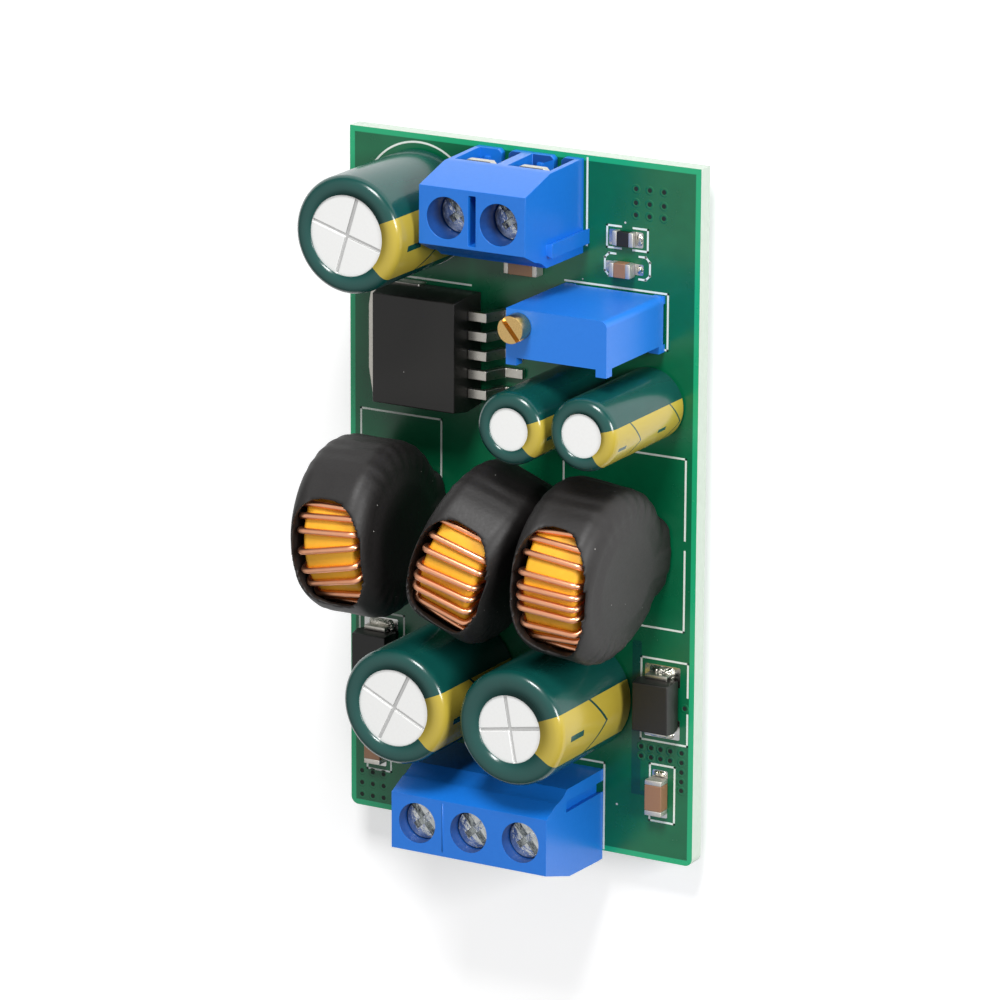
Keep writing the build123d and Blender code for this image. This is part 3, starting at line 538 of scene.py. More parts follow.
@dataclass
class CircuitBoard:
    """The green board, its print, pads and plated holes.

    Places are in millimetres from the board's lower left corner. A pool has its height last.
    """

    line: float = 0.17
    ink: float = 0.02
    ring: Triple = (6.84, 55.23, 5.38)
    ring_steps: int = 96
    outlines: tuple[tuple[Point, ...], ...] = (
        ((21.2, 50.3), (31.05, 50.3), (31.05, 45.45), (30.75, 45.45)),
        ((1.08, 21.0), (1.08, 36.4), (9.12, 36.4), (9.12, 21.0)),
        ((21.19, 21.2), (21.19, 36.2), (32.95, 36.2), (32.95, 29.08)),
        ((32.95, 28.08), (32.95, 20.95), (27.3, 20.95)),
        ((33.42, 13.6), (33.42, 10.8), (28.93, 10.8), (28.93, 18.17), (33.42, 18.17), (33.42, 15.2)),
        ((0.9, 10.8), (5.4, 10.8), (5.4, 18.1), (0.9, 18.1), (0.9, 10.8)),
        ((29.87, 3.58), (32.26, 3.58), (32.26, 8.7), (29.87, 8.7), (29.87, 3.58)),
        ((1.67, 3.55), (4.07, 3.55), (4.07, 8.7), (1.67, 8.7), (1.67, 3.55)),
        ((26.5, 53.7), (25.19, 53.7), (25.19, 55.6), (26.5, 55.6)),
        ((27.7, 53.7), (29.07, 53.7), (29.07, 55.6), (27.7, 55.6)),
        ((26.0, 53.2), (25.4, 53.2), (25.0, 52.8), (25.0, 51.65), (25.4, 51.25), (26.0, 51.25)),
        ((28.3, 53.2), (28.9, 53.2), (29.3, 52.8), (29.3, 51.65), (28.9, 51.25), (28.3, 51.25)),
        ((23.25, 61.1), (23.25, 53.6)),
        ((22.8, 7.99), (25.42, 7.99), (25.42, 0.2)),
        ((3.4, 48.7), (12.0, 48.7)),
    )
    pads: tuple[Quad, ...] = (
        (29.3, 11.2, 32.7, 13.0), (29.3, 15.9, 32.7, 17.7), (1.4, 11.2, 4.8, 13.0), (1.4, 15.9, 4.8, 17.7),
        (30.12, 3.98, 31.6, 5.2), (30.12, 6.9, 31.6, 8.25), (2.0, 3.98, 3.6, 5.2), (2.0, 6.9, 3.6, 8.25),
        (27.45, 51.6, 28.7, 52.55), (25.1, 51.6, 26.4, 52.55),
        (27.4, 53.95, 28.65, 55.3), (25.4, 53.95, 26.5, 55.3),
    )
    pad_height: float = 0.03
    pad_corner: float = 0.15
    gaps: tuple[Quad, ...] = ((28.06, 5.69, 28.93, 19.54), (28.94, 5.69, 31.65, 6.14))
    gap_height: float = 0.006
    gap_corner: float = 0.1
    pools: tuple[tuple[float, float, float, float, float], ...] = (
        (29.75, 16.45, 32.2, 17.6, 0.55), (29.75, 11.25, 32.2, 11.9, 0.4),
        (1.9, 16.45, 4.4, 17.6, 0.55), (1.9, 11.25, 4.4, 11.9, 0.4),
        (30.25, 7.7, 31.5, 8.2, 0.3), (2.15, 7.7, 3.45, 8.2, 0.3),
        (28.1, 51.7, 28.65, 52.45, 0.25), (28.05, 54.1, 28.6, 55.2, 0.2),
    )
    pool_dome: tuple[Point, ...] = ((1.0, 0.0), (1.0, 0.05), (0.93, 0.35), (0.8, 0.62), (0.6, 0.85),
                                    (0.35, 0.97))
    pool_corner: float = 0.35
    pool_steps: int = 6
    via_grids: tuple[tuple[tuple[float, ...], tuple[float, ...]], ...] = (
        ((27.9, 29.2, 30.55), (59.0, 57.8, 56.75)),
        ((28.97, 29.94, 30.85, 31.79, 32.9), (10.1, 9.24)),
        ((32.9,), (8.37, 7.51, 6.71)),
        ((33.14,), (14.15,)),
        ((1.1, 2.2, 3.3), (1.0, 2.1, 3.2)),
    )
    via_ring: tuple[Point, ...] = ((0.2, 0.008), (0.22, 0.02), (0.38, 0.02), (0.42, 0.0))
    via_hole: tuple[Point, ...] = ((0.0, 0.009), (0.21, 0.009))
    via_steps: int = 20
    soldered: tuple[str, ...] = ("_contact_", "_pins", "_capacitor_leads", "_choke_winding")
    lead_spread: float = 1.2
    tip_depth: float = 0.2
    joint: tuple[Point, ...] = ((0.95, 0.0), (0.93, 0.03), (0.72, 0.12), (0.5, 0.4), (0.36, 0.8),
                                (0.2, 0.9), (0.0, 0.9))
    joint_steps: int = 24
    fillet_rise: float = 0.25

    def build(self) -> None:
        """Builds the board with its laminate edge, print, pads, plated holes and solder joints."""
        board = dressed_copy("circuit_board", "board_laminate", 0, GREEN_MASK)
        board.data.materials.append(ROUTED_LAMINATE.build())
        for face in board.data.polygons:
            face.use_smooth = False
            face.material_index = 0 if abs(face.normal.z) > 0.5 else 1
        self.build_patches("copper_gaps", self.gaps, self.gap_corner, self.gap_height, GAP_MASK)
        self.build_print()
        self.build_patches("board_pads", self.pads, self.pad_corner, self.pad_height, BRIGHT_SOLDER)
        self.build_pools()
        self.build_vias()
        self.build_joints()

    def build_patches(self, name: str, patches: Sequence[Quad], corner: float, height: float,
                      finish: Finish) -> None:
        """Lays low patches with rounded corners on the board, as one piece.

        Args:
            name: the piece's name.
            patches: each one's lowest x and y, then its highest x and y.
            corner: radius of its corners.
            height: how far it stands up from the board.
            finish: its finish.
        """
        bm = bmesh.new()
        for x0, y0, x1, y1 in patches:
            outline = rounded_rectangle((x1 - x0) / 2, (y1 - y0) / 2, corner)
            add_slab(bm, outline, 0, height, Matrix.Translation(at((x0 + x1) / 2, (y0 + y1) / 2)))
        dress(mesh_object(name, bm, False), finish)

    def build_print(self) -> None:
        """Lays the printed outlines on the mask as thin ink strips with square ends, and the ring."""
        bm = bmesh.new()
        origin = Matrix.Translation(at(0, 0))
        half = self.line / 2
        for outline in self.outlines:
            for a, b in pairwise(map(Vector, outline)):
                run = (b - a).normalized() * half
                side = Vector((-run.y, run.x))
                strip = (a - run - side, b + run - side, b + run + side, a - run + side)
                add_slab(bm, strip, 0, self.ink, origin)
        x, y, radius = self.ring
        inner, outer = radius - half, radius + half
        section = ((inner, 0), (inner, self.ink), (outer, self.ink), (outer, 0))
        lathe(section, self.ring_steps, at(x, y), bm, closed=True)
        dress(mesh_object("board_print", bm, False), PRINTED_INK)

    def build_pools(self) -> None:
        """Builds the domed pools of solder that cover the diodes' feet and flank the chip parts."""
        bm = bmesh.new()
        for x0, y0, x1, y1, height in self.pools:
            foot = at((x0 + x1) / 2, (y0 + y1) / 2)
            rings = []
            for share, level in self.pool_dome:
                outline = rounded_rectangle((x1 - x0) / 2 * share, (y1 - y0) / 2 * share,
                                            self.pool_corner * share, self.pool_steps)
                rings.append([bm.verts.new(foot + Vector((x, y, level * height)) * MM) for x, y in outline])
            rings.append([bm.verts.new(foot + Vector((0, 0, height)) * MM)])
            bridge_rings(bm, rings)
            bm.faces.new(rings[0][::-1])
        dress(mesh_object("solder_pools", bm), POOLED_SOLDER)

    def build_vias(self) -> None:
        """Builds each via as a raised ring under the mask round a flat dark disc, painted shade of its hole.
        """
        rings, holes = bmesh.new(), bmesh.new()
        for columns, rows in self.via_grids:
            for x, y in product(columns, rows):
                lathe(self.via_ring, self.via_steps, at(x, y), rings)
                lathe(self.via_hole, self.via_steps, at(x, y), holes)
        dress(mesh_object("via_rings", rings), GREEN_MASK)
        # The dark disc in each via is painted shade of its hole.
        dress(mesh_object("via_holes", holes, False), VIA_HOLE_SHADE)

    def lead_places(self, node: str) -> list[Vector]:
        """Centres of the leads of a frame node that come out under the board.

        Args:
            node: the frame node.

        Returns:
            A place in metres for each lead.
        """
        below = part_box("circuit_board")[0].z - self.tip_depth * MM
        bm = welded_node(node)
        tips = [v.co.copy() for v in bm.verts if v.co.z < below]
        bm.free()
        leads: list[list[Vector]] = []
        for tip in tips:
            near = [lead for lead in leads if (lead[0].xy - tip.xy).length < self.lead_spread * MM]
            if near:
                near[0].append(tip)
            else:
                leads.append([tip])
        return [sum(lead, Vector()) / len(lead) for lead in leads]

    def build_joints(self) -> None:
        """Solders every lead that goes through: a cone under the board and a small fillet on top."""
        low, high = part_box("circuit_board")
        bm = bmesh.new()
        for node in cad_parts:
            if any(part in node for part in self.soldered):
                for place in self.lead_places(node):
                    for level, rise in ((low.z, -1.0), (high.z, self.fillet_rise)):
                        section = [(radius, height * rise) for radius, height in self.joint]
                        lathe(section, self.joint_steps, Vector((place.x, place.y, level)), bm)
        dress(mesh_object("solder_joints", bm), BRIGHT_SOLDER)


@dataclass
class TerminalBlock:
    """One row of screw terminals: moulding, contacts, leaves and clamp screws.

    Sizes are in millimetres. The seam's place is its middle, from the board's lower left corner.
    """

    name: str
    poles: int
    seam: Point | None = None
    seam_half: Point = (0.06, 2.2)
    seam_levels: Point = (-0.05, 0.03)
    moulding_radius: float = 0.12
    metal_radius: float = 0.06
    screw_radius: float = 0.12
    well_radius: float = 1.86

    def build(self) -> None:
        """Rounds and dresses every piece of the block."""
        node = f"{self.name}_terminal_housing"
        housing = dressed_copy(node, f"{self.name}_moulding", self.moulding_radius, BLUE_POLYAMIDE,
                               segments=2)
        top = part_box(node)[1].z
        self.paint_well_shade(housing, top)
        if self.seam:
            self.build_seam(top)
        for n in range(1, self.poles + 1):
            self.build_pole(n)

    def paint_well_shade(self, housing: Object, top: float) -> None:
        """Gives the walls of the screw wells a darker blue finish: painted shade inside the wells.

        Args:
            housing: the dressed moulding.
            top: height of its top face, in metres.
        """
        # Painted shade: the walls inside the wells take a darker blue than the rest of the moulding.
        housing.data.materials.append(SHADED_WELL_POLYAMIDE.build())
        for n in range(1, self.poles + 1):
            low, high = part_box(f"{self.name}_screw_{n}")
            axis = (low.xy + high.xy) / 2
            for face in housing.data.polygons:
                if (face.center.z < top - self.moulding_radius * MM
                        and (face.center.xy - axis).length < self.well_radius * MM):
                    face.material_index = 1

    def build_seam(self, top: float) -> None:
        """Raises the fine seam that the mould's insert left across the top face, at this height."""
        foot = at(*self.seam)
        bm = bmesh.new()
        outline = rounded_rectangle(*self.seam_half, self.seam_half[0])
        add_slab(bm, outline, *self.seam_levels, Matrix.Translation((foot.x, foot.y, top)))
        dress(mesh_object(f"{self.name}_mould_seam", bm), BLUE_POLYAMIDE)

    def build_pole(self, n: int) -> None:
        """Builds the metal pieces of the pole of this number, each on its own body."""
        for kind, noun, body, finish, radius in (
                ("contact", "strip", MODULE, TIN_PLATE, self.metal_radius),
                ("leaf", "spring", f"{self.name}_leaf_{n}", TIN_PLATE, self.metal_radius),
                ("screw", "clamp", f"{self.name}_screw_{n}", ZINC_STEEL, self.screw_radius)):
            dressed_copy(f"{self.name}_{kind}_{n}", f"{self.name}_{noun}_{n}", radius, finish, body)


@dataclass
class Trimmer:
    """The multi-turn trimmer: moulded block, brass screw and pins."""

    moulding_radius: float = 0.16
    screw_radius: float = 0.05
    pin_radius: float = 0.1

    def build(self) -> None:
        """Rounds and dresses the trimmer's pieces."""
        dressed_copy("trimmer_housing", "trimmer_moulding", self.moulding_radius, BLUE_THERMOSET)
        dressed_copy("trimmer_screw", "trimmer_adjuster", self.screw_radius, TURNED_BRASS, "trimmer_screw",
                     segments=2)
        dressed_copy("trimmer_pins", "trimmer_leads", self.pin_radius, TIN_PLATE, segments=2)


@dataclass
class ConverterChip:
    """The converter chip: moulded body, metal tab and bent leads."""

    pieces: tuple[tuple[str, str, float, Finish], ...] = (
        ("converter_chip_body", "chip_moulding", 0.12, MOULDED_EPOXY),
        ("converter_chip_tab", "chip_heat_tab", 0.08, TIN_PLATE),
        ("converter_chip_leads", "chip_gull_wings", 0.08, TIN_PLATE),
    )
    sharper_than: float = 15.0

    def build(self) -> None:
        """Rounds and dresses the chip's pieces."""
        for piece in self.pieces:
            dressed_copy(*piece, sharper_than=self.sharper_than)


@dataclass
class SmallParts:
    """Diodes, ceramic capacitors and the resistor, with their leads and ends."""

    pieces: tuple[tuple[str, str, float, Finish], ...] = (
        ("left_diode_body", "left_diode_moulding", 0.1, MOULDED_EPOXY),
        ("right_diode_body", "right_diode_moulding", 0.1, MOULDED_EPOXY),
        ("diode_leads", "diode_straps", 0.05, TIN_PLATE),
        ("ceramic_capacitor_bodies", "ceramic_blocks", 0.06, SINTERED_CERAMIC),
        ("resistor_body", "resistor_film", 0.04, MOULDED_EPOXY),
        ("chip_part_ends", "tinned_ends", 0.08, BAKED_TIN),
    )

    def build(self) -> None:
        """Rounds and dresses the small parts."""
        for piece in self.pieces:
            dressed_copy(*piece)


@dataclass
class Capacitor:
    """An upright electrolytic capacitor: film sleeve, can, bung and leads. Sizes are in millimetres."""

    name: str
    opening: float
    facing: float
    half_angle: float
    wall: float = 0.15
    shoulder: float = 0.8
    shoulder_steps: int = 8
    segments: int = 96
    can_radius: float = 0.05
    lead_radius: float = 0.1
    score: Point = (0.03, 0.3)

    def build(self) -> None:
        """Builds the sleeve anew, and dresses the scored can, the bung and the leads."""
        node = f"{self.name}_capacitor"
        self.build_film()
        can = dressed_copy(f"{node}_can", f"{self.name}_can", self.can_radius, DRAWN_ALUMINIUM,
                           segments=2)
        # The faces in the score's groove take a greyer aluminium: painted shade in the groove.
        can.data.materials.append(SHADED_SCORE_ALUMINIUM.build())
        top = max(v.co.z for v in can.data.vertices)
        for face in can.data.polygons:
            if self.score[0] * MM < top - face.center.z < self.score[1] * MM:
                face.material_index = 1
        dressed_copy(f"{node}_bung", f"{self.name}_bung", 0, BUNG_RUBBER)
        dressed_copy(f"{node}_leads", f"{self.name}_wires", self.lead_radius, TIN_PLATE, segments=2)

    def build_film(self) -> None:
        """Turns the sleeve with a rounded shoulder and a lip over the can's top."""
        low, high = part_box(f"{self.name}_capacitor_sleeve")
        radius, height = (high.x - low.x) / 2 / MM, (high.z - low.z) / MM
        wall, bend = self.wall, self.shoulder
        turns = [math.radians(90 * k / self.shoulder_steps) for k in range(self.shoulder_steps + 1)]
        section = [(radius, 0.0)]
        section += [(radius - bend + bend * math.cos(a), height - bend + bend * math.sin(a)) for a in turns]
        section += [(self.opening, height), (self.opening, height - wall), (radius - bend, height - wall),
                    (radius - wall, height - bend), (radius - wall, 0.0), (radius, 0.0)]
        film = mesh_object(f"{self.name}_film", lathe(section, self.segments))
        film.location = ((low.x + high.x) / 2, (low.y + high.y) / 2, low.z)
        finish = replace(TEAL_FILM, name=f"{TEAL_FILM.name}_{self.name}", facing=self.facing,
                         half_angle=self.half_angle, radius=radius, top=height)
        dress(film, finish, nodes=[f"{self.name}_capacitor_sleeve"])


# The turns that each sleeve's mouth shows: degrees past the crown at their left and right edges.
LEFT_CROWN = ((-28.1, -28.7), (-18.4, -21.5), (-7.0, -10.1), (10.0, -0.5), (27.0, 14.6), (40.6, 27.0),
              (55.4, 43.6), (68.5, 62.5))
MIDDLE_CROWN = ((-30.4, -34.7), (-17.1, -21.1), (-5.0, -10.8), (9.8, 2.1), (20.2, 13.0), (31.6, 25.6),
                (48.6, 40.6), (61.3, 58.6))
RIGHT_CROWN = ((-34.2, -34.2), (-23.0, -22.4), (-7.8, -8.1), (2.9, 1.3), (11.5, 10.2), (20.8, 19.2),
               (37.9, 34.0), (54.6, 42.0), (66.6, 60.5))


@dataclass
class RingChoke:
    """A ring choke on edge: coated core, copper winding and heat-shrunk sleeve.

    Sizes are in millimetres. The choke's own frame has its origin at the ring's centre, x along
    the ring's axis and z up. The mouth is its lowest and highest y and half its width.
    """

    name: str
    turn: float
    crown: tuple[Point, ...]
    mouth: Triple
    flare: float = 0.0
    flare_heights: Point = (1.0, -5.0)
    turns: int = 28
    arc: float = 336.0
    core_outer: float = 6.35
    core_inner: float = 3.85
    core_half: float = 2.55
    core_edge: float = 0.45
    core_steps: int = 120
    wire: float = 0.56
    wire_steps: int = 3
    wire_gap: float = 0.01
    bend: float = 0.7
    bend_share: float = 1 / 2.2
    bend_steps: int = 4
    wrap_radius: float = 7.15
    wrap_half: float = 3.3
    wrap_wall: float = 0.5
    wrap_heel: float = 3.2
    least_heel: float = 1.0
    rim_outside: float = 1.7
    rim_inside: float = 1.2
    rim_depth: float = 1.3
    rim_steps: int = 8
    lip: float = 0.4
    lip_steps: int = 3
    arch_steps: int = 40
    hem: float = 0.15
    mouth_floor: float = 3.05
    mouth_steps: int = 72
    oval: float = 2.5
    cut_past: float = 1.0
    voxel: float = 0.18
    softening: tuple[float, int] = (0.5, 3)
    ripple: float = 0.06
    ripple_change: Point = (0.5, 0.7)
    ripple_angle: float = 12.0
    ripple_slant: float = 0.3
    ripple_radii: Point = (4.5, 6.5)
    ripple_heights: Point = (5.0, 3.0)
    ripple_patch: float = 3.0
    dent: float = 0.05
    dent_patch: float = 2.6

    def build(self) -> None:
        """Builds the core, the winding and the sleeve in the choke's own frame."""
        low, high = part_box(f"{self.name}_choke_core")
        centre = (low + high) / 2
        self.place = Matrix.Translation(centre) @ Matrix.Rotation(math.radians(self.turn), 4, "Z")
        self.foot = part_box("circuit_board")[1].z - centre.z
        self.build_core()
        self.build_winding()
        self.build_wrap()

    def build_core(self) -> None:
        """Turns the ring with rounded edges; its axis lies across the choke."""
        middle, deep = (self.core_outer + self.core_inner) / 2, (self.core_outer - self.core_inner) / 2
        section = rounded_rectangle(deep, self.core_half, self.core_edge)
        bm = lathe([(middle + x, y) for x, y in section], self.core_steps, closed=True)
        bmesh.ops.transform(bm, matrix=self.place @ Matrix.Rotation(math.pi / 2, 4, "Y"), verts=bm.verts)
        dress(mesh_object(f"{self.name}_ring", bm), COATED_IRON, nodes=[f"{self.name}_choke_core"])

    def strands(self) -> list[Point]:
        """Angles up from the foot of every outer strand, at its right and its left edge, as wound.

        Returns:
            Pairs in degrees: even turns under the sleeve, and the uneven ones that the mouth shows.
        """
        step = self.arc / self.turns
        first = (360 - self.arc) / 2
        seen = [(180 + right, 180 + left) for left, right in self.crown]
        rise, fall = seen[0][0] - first, 360 - first - seen[-1][1]
        before, after = round(rise / step), round(fall / step)
        hidden = [first + k * rise / before for k in range(before)]
        last = [seen[-1][1] + (k + 1) * fall / after for k in range(after)]
        return [(a, a + step / 2) for a in hidden] + seen + [(a, a + step / 2) for a in last]

    def ring_point(self, radius: float, across: float, angle: float) -> Vector:
        """Place at an angle up from the ring's foot, in the choke's frame and in metres."""
        a = math.radians(angle)
        return Vector((across, radius * math.sin(a), -radius * math.cos(a))) * MM

    def wire_line(self) -> list[Vector]:
        """Corners of the wire, from one lead's tip through every turn to the other lead's tip."""
        reach = self.wire / 2 + self.wire_gap
        outer, inner, half = self.core_outer + reach, self.core_inner - reach, self.core_half + reach
        strands = self.strands()
        points = []
        for k, (right, left) in enumerate(strands):
            points += [self.ring_point(outer, half, right), self.ring_point(outer, -half, left)]
            if k + 1 < len(strands):
                points += [self.ring_point(inner, -half, left),
                           self.ring_point(inner, half, strands[k + 1][0])]
        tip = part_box(f"{self.name}_choke_winding")[0].z - self.place.translation.z
        bench = self.foot + self.wire * MM
        first, last = points[0], points[-1]
        return [Vector((first.x, first.y, tip)), Vector((first.x, first.y, bench)), *points,
                Vector((last.x, last.y, bench)), Vector((last.x, last.y, tip))]

    def build_winding(self) -> None:
        """Bends round wire along its line, a soft bend at every corner."""
        corners = self.wire_line()
        points = [corners[0]]
        for a, b, c in zip(corners, corners[1:], corners[2:]):
            reach = min(self.bend * MM, (b - a).length * self.bend_share, (c - b).length * self.bend_share)
            start, end = b + (a - b).normalized() * reach, b + (c - b).normalized() * reach
            for k in range(self.bend_steps + 1):
                t = k / self.bend_steps
                points.append(start * (1 - t) ** 2 + b * 2 * t * (1 - t) + end * t * t)
        points.append(corners[-1])
        curve = bpy.data.curves.new(f"{self.name}_wire_line", "CURVE")
        curve.dimensions = "3D"
        curve.bevel_depth = self.wire / 2 * MM
        curve.bevel_resolution = self.wire_steps
        curve.use_fill_caps = True
        spline = curve.splines.new("POLY")
        spline.points.add(len(points) - 1)
        for target, point in zip(spline.points, points):
            target.co = (*(self.place @ point), 1.0)
        line = link_object("wire_line", curve)
        mesh = evaluated_mesh(line)
        bpy.data.objects.remove(line)
        mesh.shade_smooth()
        dress(link_object(f"{self.name}_copper", mesh), ENAMELLED_COPPER,
              nodes=[f"{self.name}_choke_winding"])

    def wrap_body(self, grow: float, rounding: float, below: float) -> Object:
        """A closed body round the winding: a heel on the board, round over the crown, soft rims.

        Args:
            grow: thickness of the wall that the body takes in.
            rounding: radius of its two rims.
            below: how far its foot goes under the sleeve's hem.

        Returns:
            The body, in the choke's own frame.
        """
        half, depth = self.wrap_half + grow, self.rim_depth * rounding
        turns = [math.radians(90 * k / self.rim_steps) for k in range(self.rim_steps + 1)]
        levels = [(half - rounding + rounding * math.sin(a), depth * (1 - math.cos(a))) for a in turns]
        levels += [(half + self.lip * grow * k / self.lip_steps, depth + self.lip * k)
                   for k in range(1, self.lip_steps + 1)]
        floor = self.foot / MM + self.hem - below
        bm = bmesh.new()
        rings = []
        for x, inset in [(-x, inset) for x, inset in reversed(levels)] + levels:
            radius = self.wrap_radius + grow - inset
            heel = max(self.least_heel, self.wrap_heel + grow - inset)
            reach = 180 - math.degrees(math.asin(heel / radius))
            arch = [math.radians(reach * (k / self.arch_steps - 1)) for k in range(2 * self.arch_steps + 1)]
            outline = [(-heel, floor), *((radius * math.sin(a), radius * math.cos(a)) for a in arch),
                       (heel, floor)]
            rings.append([bm.verts.new(Vector((self.flared(x, z), y, z)) * MM) for y, z in outline])
        bridge_rings(bm, rings)
        bm.faces.new(rings[0])
        bm.faces.new(rings[-1][::-1])
        return mesh_object(f"{self.name}_body", bm)

    def flared(self, x: float, z: float) -> float:
        """Moves the outer side of the sleeve out towards its foot, where it was pressed flat."""
        return x + self.flare * ramp(z, *self.flare_heights) ** 2 * max(0.0, x) / self.wrap_half

    def mouth_body(self) -> Object:
        """The oval prism that the mouth leaves open over the crown, in the choke's own frame."""
        low, high, half = self.mouth
        outline = []
        for k in range(self.mouth_steps):
            a = math.tau * k / self.mouth_steps
            x, y = (math.copysign(abs(c) ** (2 / self.oval), c) for c in (math.cos(a), math.sin(a)))
            outline.append((x * half, (low + high) / 2 + y * (high - low) / 2))
        bm = bmesh.new()
        add_slab(bm, outline, self.mouth_floor, self.wrap_radius + self.wrap_wall + self.cut_past)
        return mesh_object(f"{self.name}_mouth", bm)

    def build_wrap(self) -> None:
        """Cuts hollow and mouth out of the body, softens the lip, and lets the turns show through."""
        wrap = self.wrap_body(self.wrap_wall, self.rim_outside, 0.0)
        for cutter in (self.wrap_body(0.0, self.rim_inside, self.cut_past), self.mouth_body()):
            cut = wrap.modifiers.new("cut", "BOOLEAN")
            cut.operation = "DIFFERENCE"
            cut.solver = "EXACT"
            cut.object = cutter
            settle(wrap)
            bpy.data.objects.remove(cutter)
        remesh = wrap.modifiers.new("even_mesh", "REMESH")
        remesh.mode = "VOXEL"
        remesh.voxel_size = self.voxel * MM
        smooth = wrap.modifiers.new("soft_lip", "SMOOTH")
        smooth.factor, smooth.iterations = self.softening
        settle(wrap)
        moved = [v.co + v.normal * self.unevenness(v.co / MM) * MM for v in wrap.data.vertices]
        for vertex, place in zip(wrap.data.vertices, moved):
            vertex.co = self.place @ place
        wrap.data.shade_smooth()
        wrap.name = f"{self.name}_heat_shrink"
        dress(wrap, SHRUNK_POLYOLEFIN, nodes=[f"{self.name}_choke_sleeve"])

    def unevenness(self, place: Vector) -> float:
        """Height of the sleeve's skin: ridges over the turns, and slow dents.

        Args:
            place: a point of the skin in the choke's own frame, in mm.

        Returns:
            How far the skin stands out there, in mm.
        """
        angle = math.degrees(math.atan2(place.y, -place.z))
        near_rim = (ramp(math.hypot(place.y, place.z), *self.ripple_radii)
                    * ramp(place.z, *self.ripple_heights))
        seed = Vector((self.turn, 0.0, 0.0))
        steady, change = self.ripple_change
        strength = steady + change * noise.noise(place / self.ripple_patch + seed)
        phase = math.tau * angle / self.ripple_angle + place.x * self.ripple_slant
        dents = self.dent * noise.noise(place / self.dent_patch + seed)
        return self.ripple * near_rim * strength * math.cos(phase) + dents


# Stage


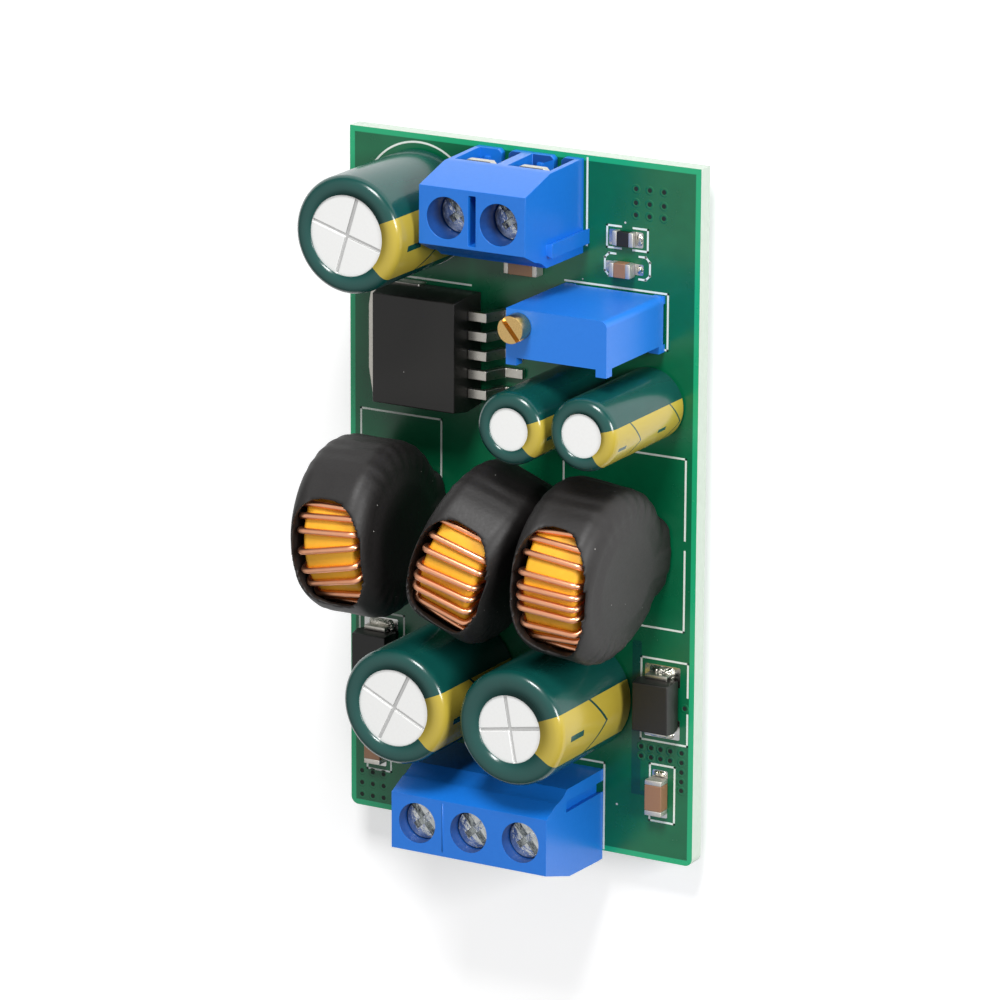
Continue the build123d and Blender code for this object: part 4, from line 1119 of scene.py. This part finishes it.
@dataclass
class Studio:
    """White floor, soft lamps and the camera. Lengths are in metres."""

    eye: Triple = (0.24148, 0.14143, 0.43474)
    look: Triple = (-0.4727, -0.2750, -0.8372)
    up: Triple = (-0.1393, 0.9614, -0.2371)
    lens: float = 215.6
    clip: Point = (0.01, 10.0)
    floor_half: float = 0.9
    floor_colour: str = "e8e8e8"
    floor_lift: float = 0.45
    wall_light: float = 0.1
    ceiling_light: float = 0.4
    wall_height: float = 0.1
    ceiling_height: float = 0.95
    mirrored_light: float = 2.0
    lamps: tuple[tuple[str, Triple, float, float], ...] = (
        ("back_box", (0.15, 0.85, 0.6), 9.0, 0.3),
        ("side_box", (0.9, 0.3, 0.42), 7.4, 0.3),
    )

    def build(self) -> None:
        """Sets the camera, the floor, the lamps and the world."""
        self.build_camera()
        self.build_floor()
        self.build_lamps()
        self.build_room()
        bpy.context.scene.view_settings.view_transform = "Standard"

    def build_camera(self) -> None:
        """Places the camera at the photograph's viewpoint."""
        data = bpy.data.cameras.new("camera")
        data.lens = self.lens
        data.clip_start, data.clip_end = self.clip
        camera = link_object("camera", data)
        forward = Vector(self.look).normalized()
        right = forward.cross(Vector(self.up)).normalized()
        turn = Matrix((right, right.cross(forward), -forward)).transposed().to_4x4()
        camera.matrix_world = Matrix.Translation(self.eye) @ turn
        bpy.context.scene.camera = camera

    def build_floor(self) -> None:
        """Lays a matt white floor that keeps the shadow and reads as paper white."""
        bm = bmesh.new()
        bmesh.ops.create_grid(bm, x_segments=1, y_segments=1, size=self.floor_half)
        floor = mesh_object("studio_floor", bm, False)
        material = bpy.data.materials.new("white_paper")
        add = adder(material)
        matt = add("BsdfDiffuse", {"Color": linear(self.floor_colour)})
        lift = add("Emission", {"Color": linear("ffffff"), "Strength": self.floor_lift})
        both = add("AddShader", (matt, lift))
        ray = add("LightPath").outputs
        shown = ray["Is Camera Ray"]
        for kind in ("Is Glossy Ray", "Is Transmission Ray"):
            shown = add("Math", (shown, ray[kind]), operation="ADD", use_clamp=True)
        pick = add("MixShader", (shown, matt, both))
        add("OutputMaterial", {"Surface": pick})
        floor.data.materials.append(material)

    def build_lamps(self) -> None:
        """Hangs the soft boxes, each turned to the part."""
        for name, place, power, size in self.lamps:
            data = bpy.data.lights.new(name, "AREA")
            data.energy = power
            data.size = size
            turn = Vector(place).to_track_quat("Z", "Y").to_matrix().to_4x4()
            link_object(name, data).matrix_world = Matrix.Translation(place) @ turn

    def build_room(self) -> None:
        """Builds a room that is bright overhead and dim towards its walls.

        Glossy surfaces mirror the room brighter than it lights matt ones, as a big reflector would.
        """
        world = bpy.data.worlds.new("soft_room")
        add = adder(world)
        place = add("TexCoord").outputs["Generated"]
        height = add("SeparateXYZ", (place,)).outputs["Z"]
        level = add("MapRange", {
            "Value": height, "From Min": self.wall_height, "From Max": self.ceiling_height,
            "To Min": self.wall_light, "To Max": self.ceiling_light}, interpolation_type="SMOOTHSTEP")
        ray = add("LightPath").outputs
        mirrored = add("MapRange", {
            "Value": ray["Is Glossy Ray"], "To Min": 1.0, "To Max": self.mirrored_light})
        raised = add("Math", (level, mirrored), operation="MULTIPLY")
        shown = add("Math", (ray["Is Camera Ray"], ray["Is Transmission Ray"]),
                         operation="ADD", use_clamp=True)
        strength = add("Mix", {0: shown, 2: raised, 3: 1.0}, data_type="FLOAT")
        light = add("Background", {"Color": linear("ffffff"), "Strength": strength})
        add("OutputWorld", {"Surface": light})
        bpy.context.scene.world = world


def main() -> None:
    """Builds every sub-assembly in order."""
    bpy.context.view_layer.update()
    assemblies = [
        CircuitBoard(),
        TerminalBlock("input", 2),
        TerminalBlock("output", 3, (15.15, 3.3)),
        Trimmer(),
        ConverterChip(),
        SmallParts(),
        Capacitor("input", 3.5, -10.0, 33.0),
        Capacitor("left_output", 3.4, -10.0, 33.0),
        Capacitor("right_output", 3.0, -6.0, 28.0),
        Capacitor("left_coupling", 1.85, -12.0, 33.0),
        Capacitor("right_coupling", 1.9, -20.0, 36.0),
        RingChoke("left", 0.0, LEFT_CROWN, (-5.95, 3.85, 3.4)),
        RingChoke("middle", -22.0, MIDDLE_CROWN, (-6.1, 4.3, 3.55)),
        RingChoke("right", -6.0, RIGHT_CROWN, (-6.35, 5.1, 3.45), 0.25),
        Studio(),
    ]
    for assembly in assemblies:
        assembly.build()


if __name__ == "__main__":
    logging.basicConfig(level=logging.INFO)
    main()
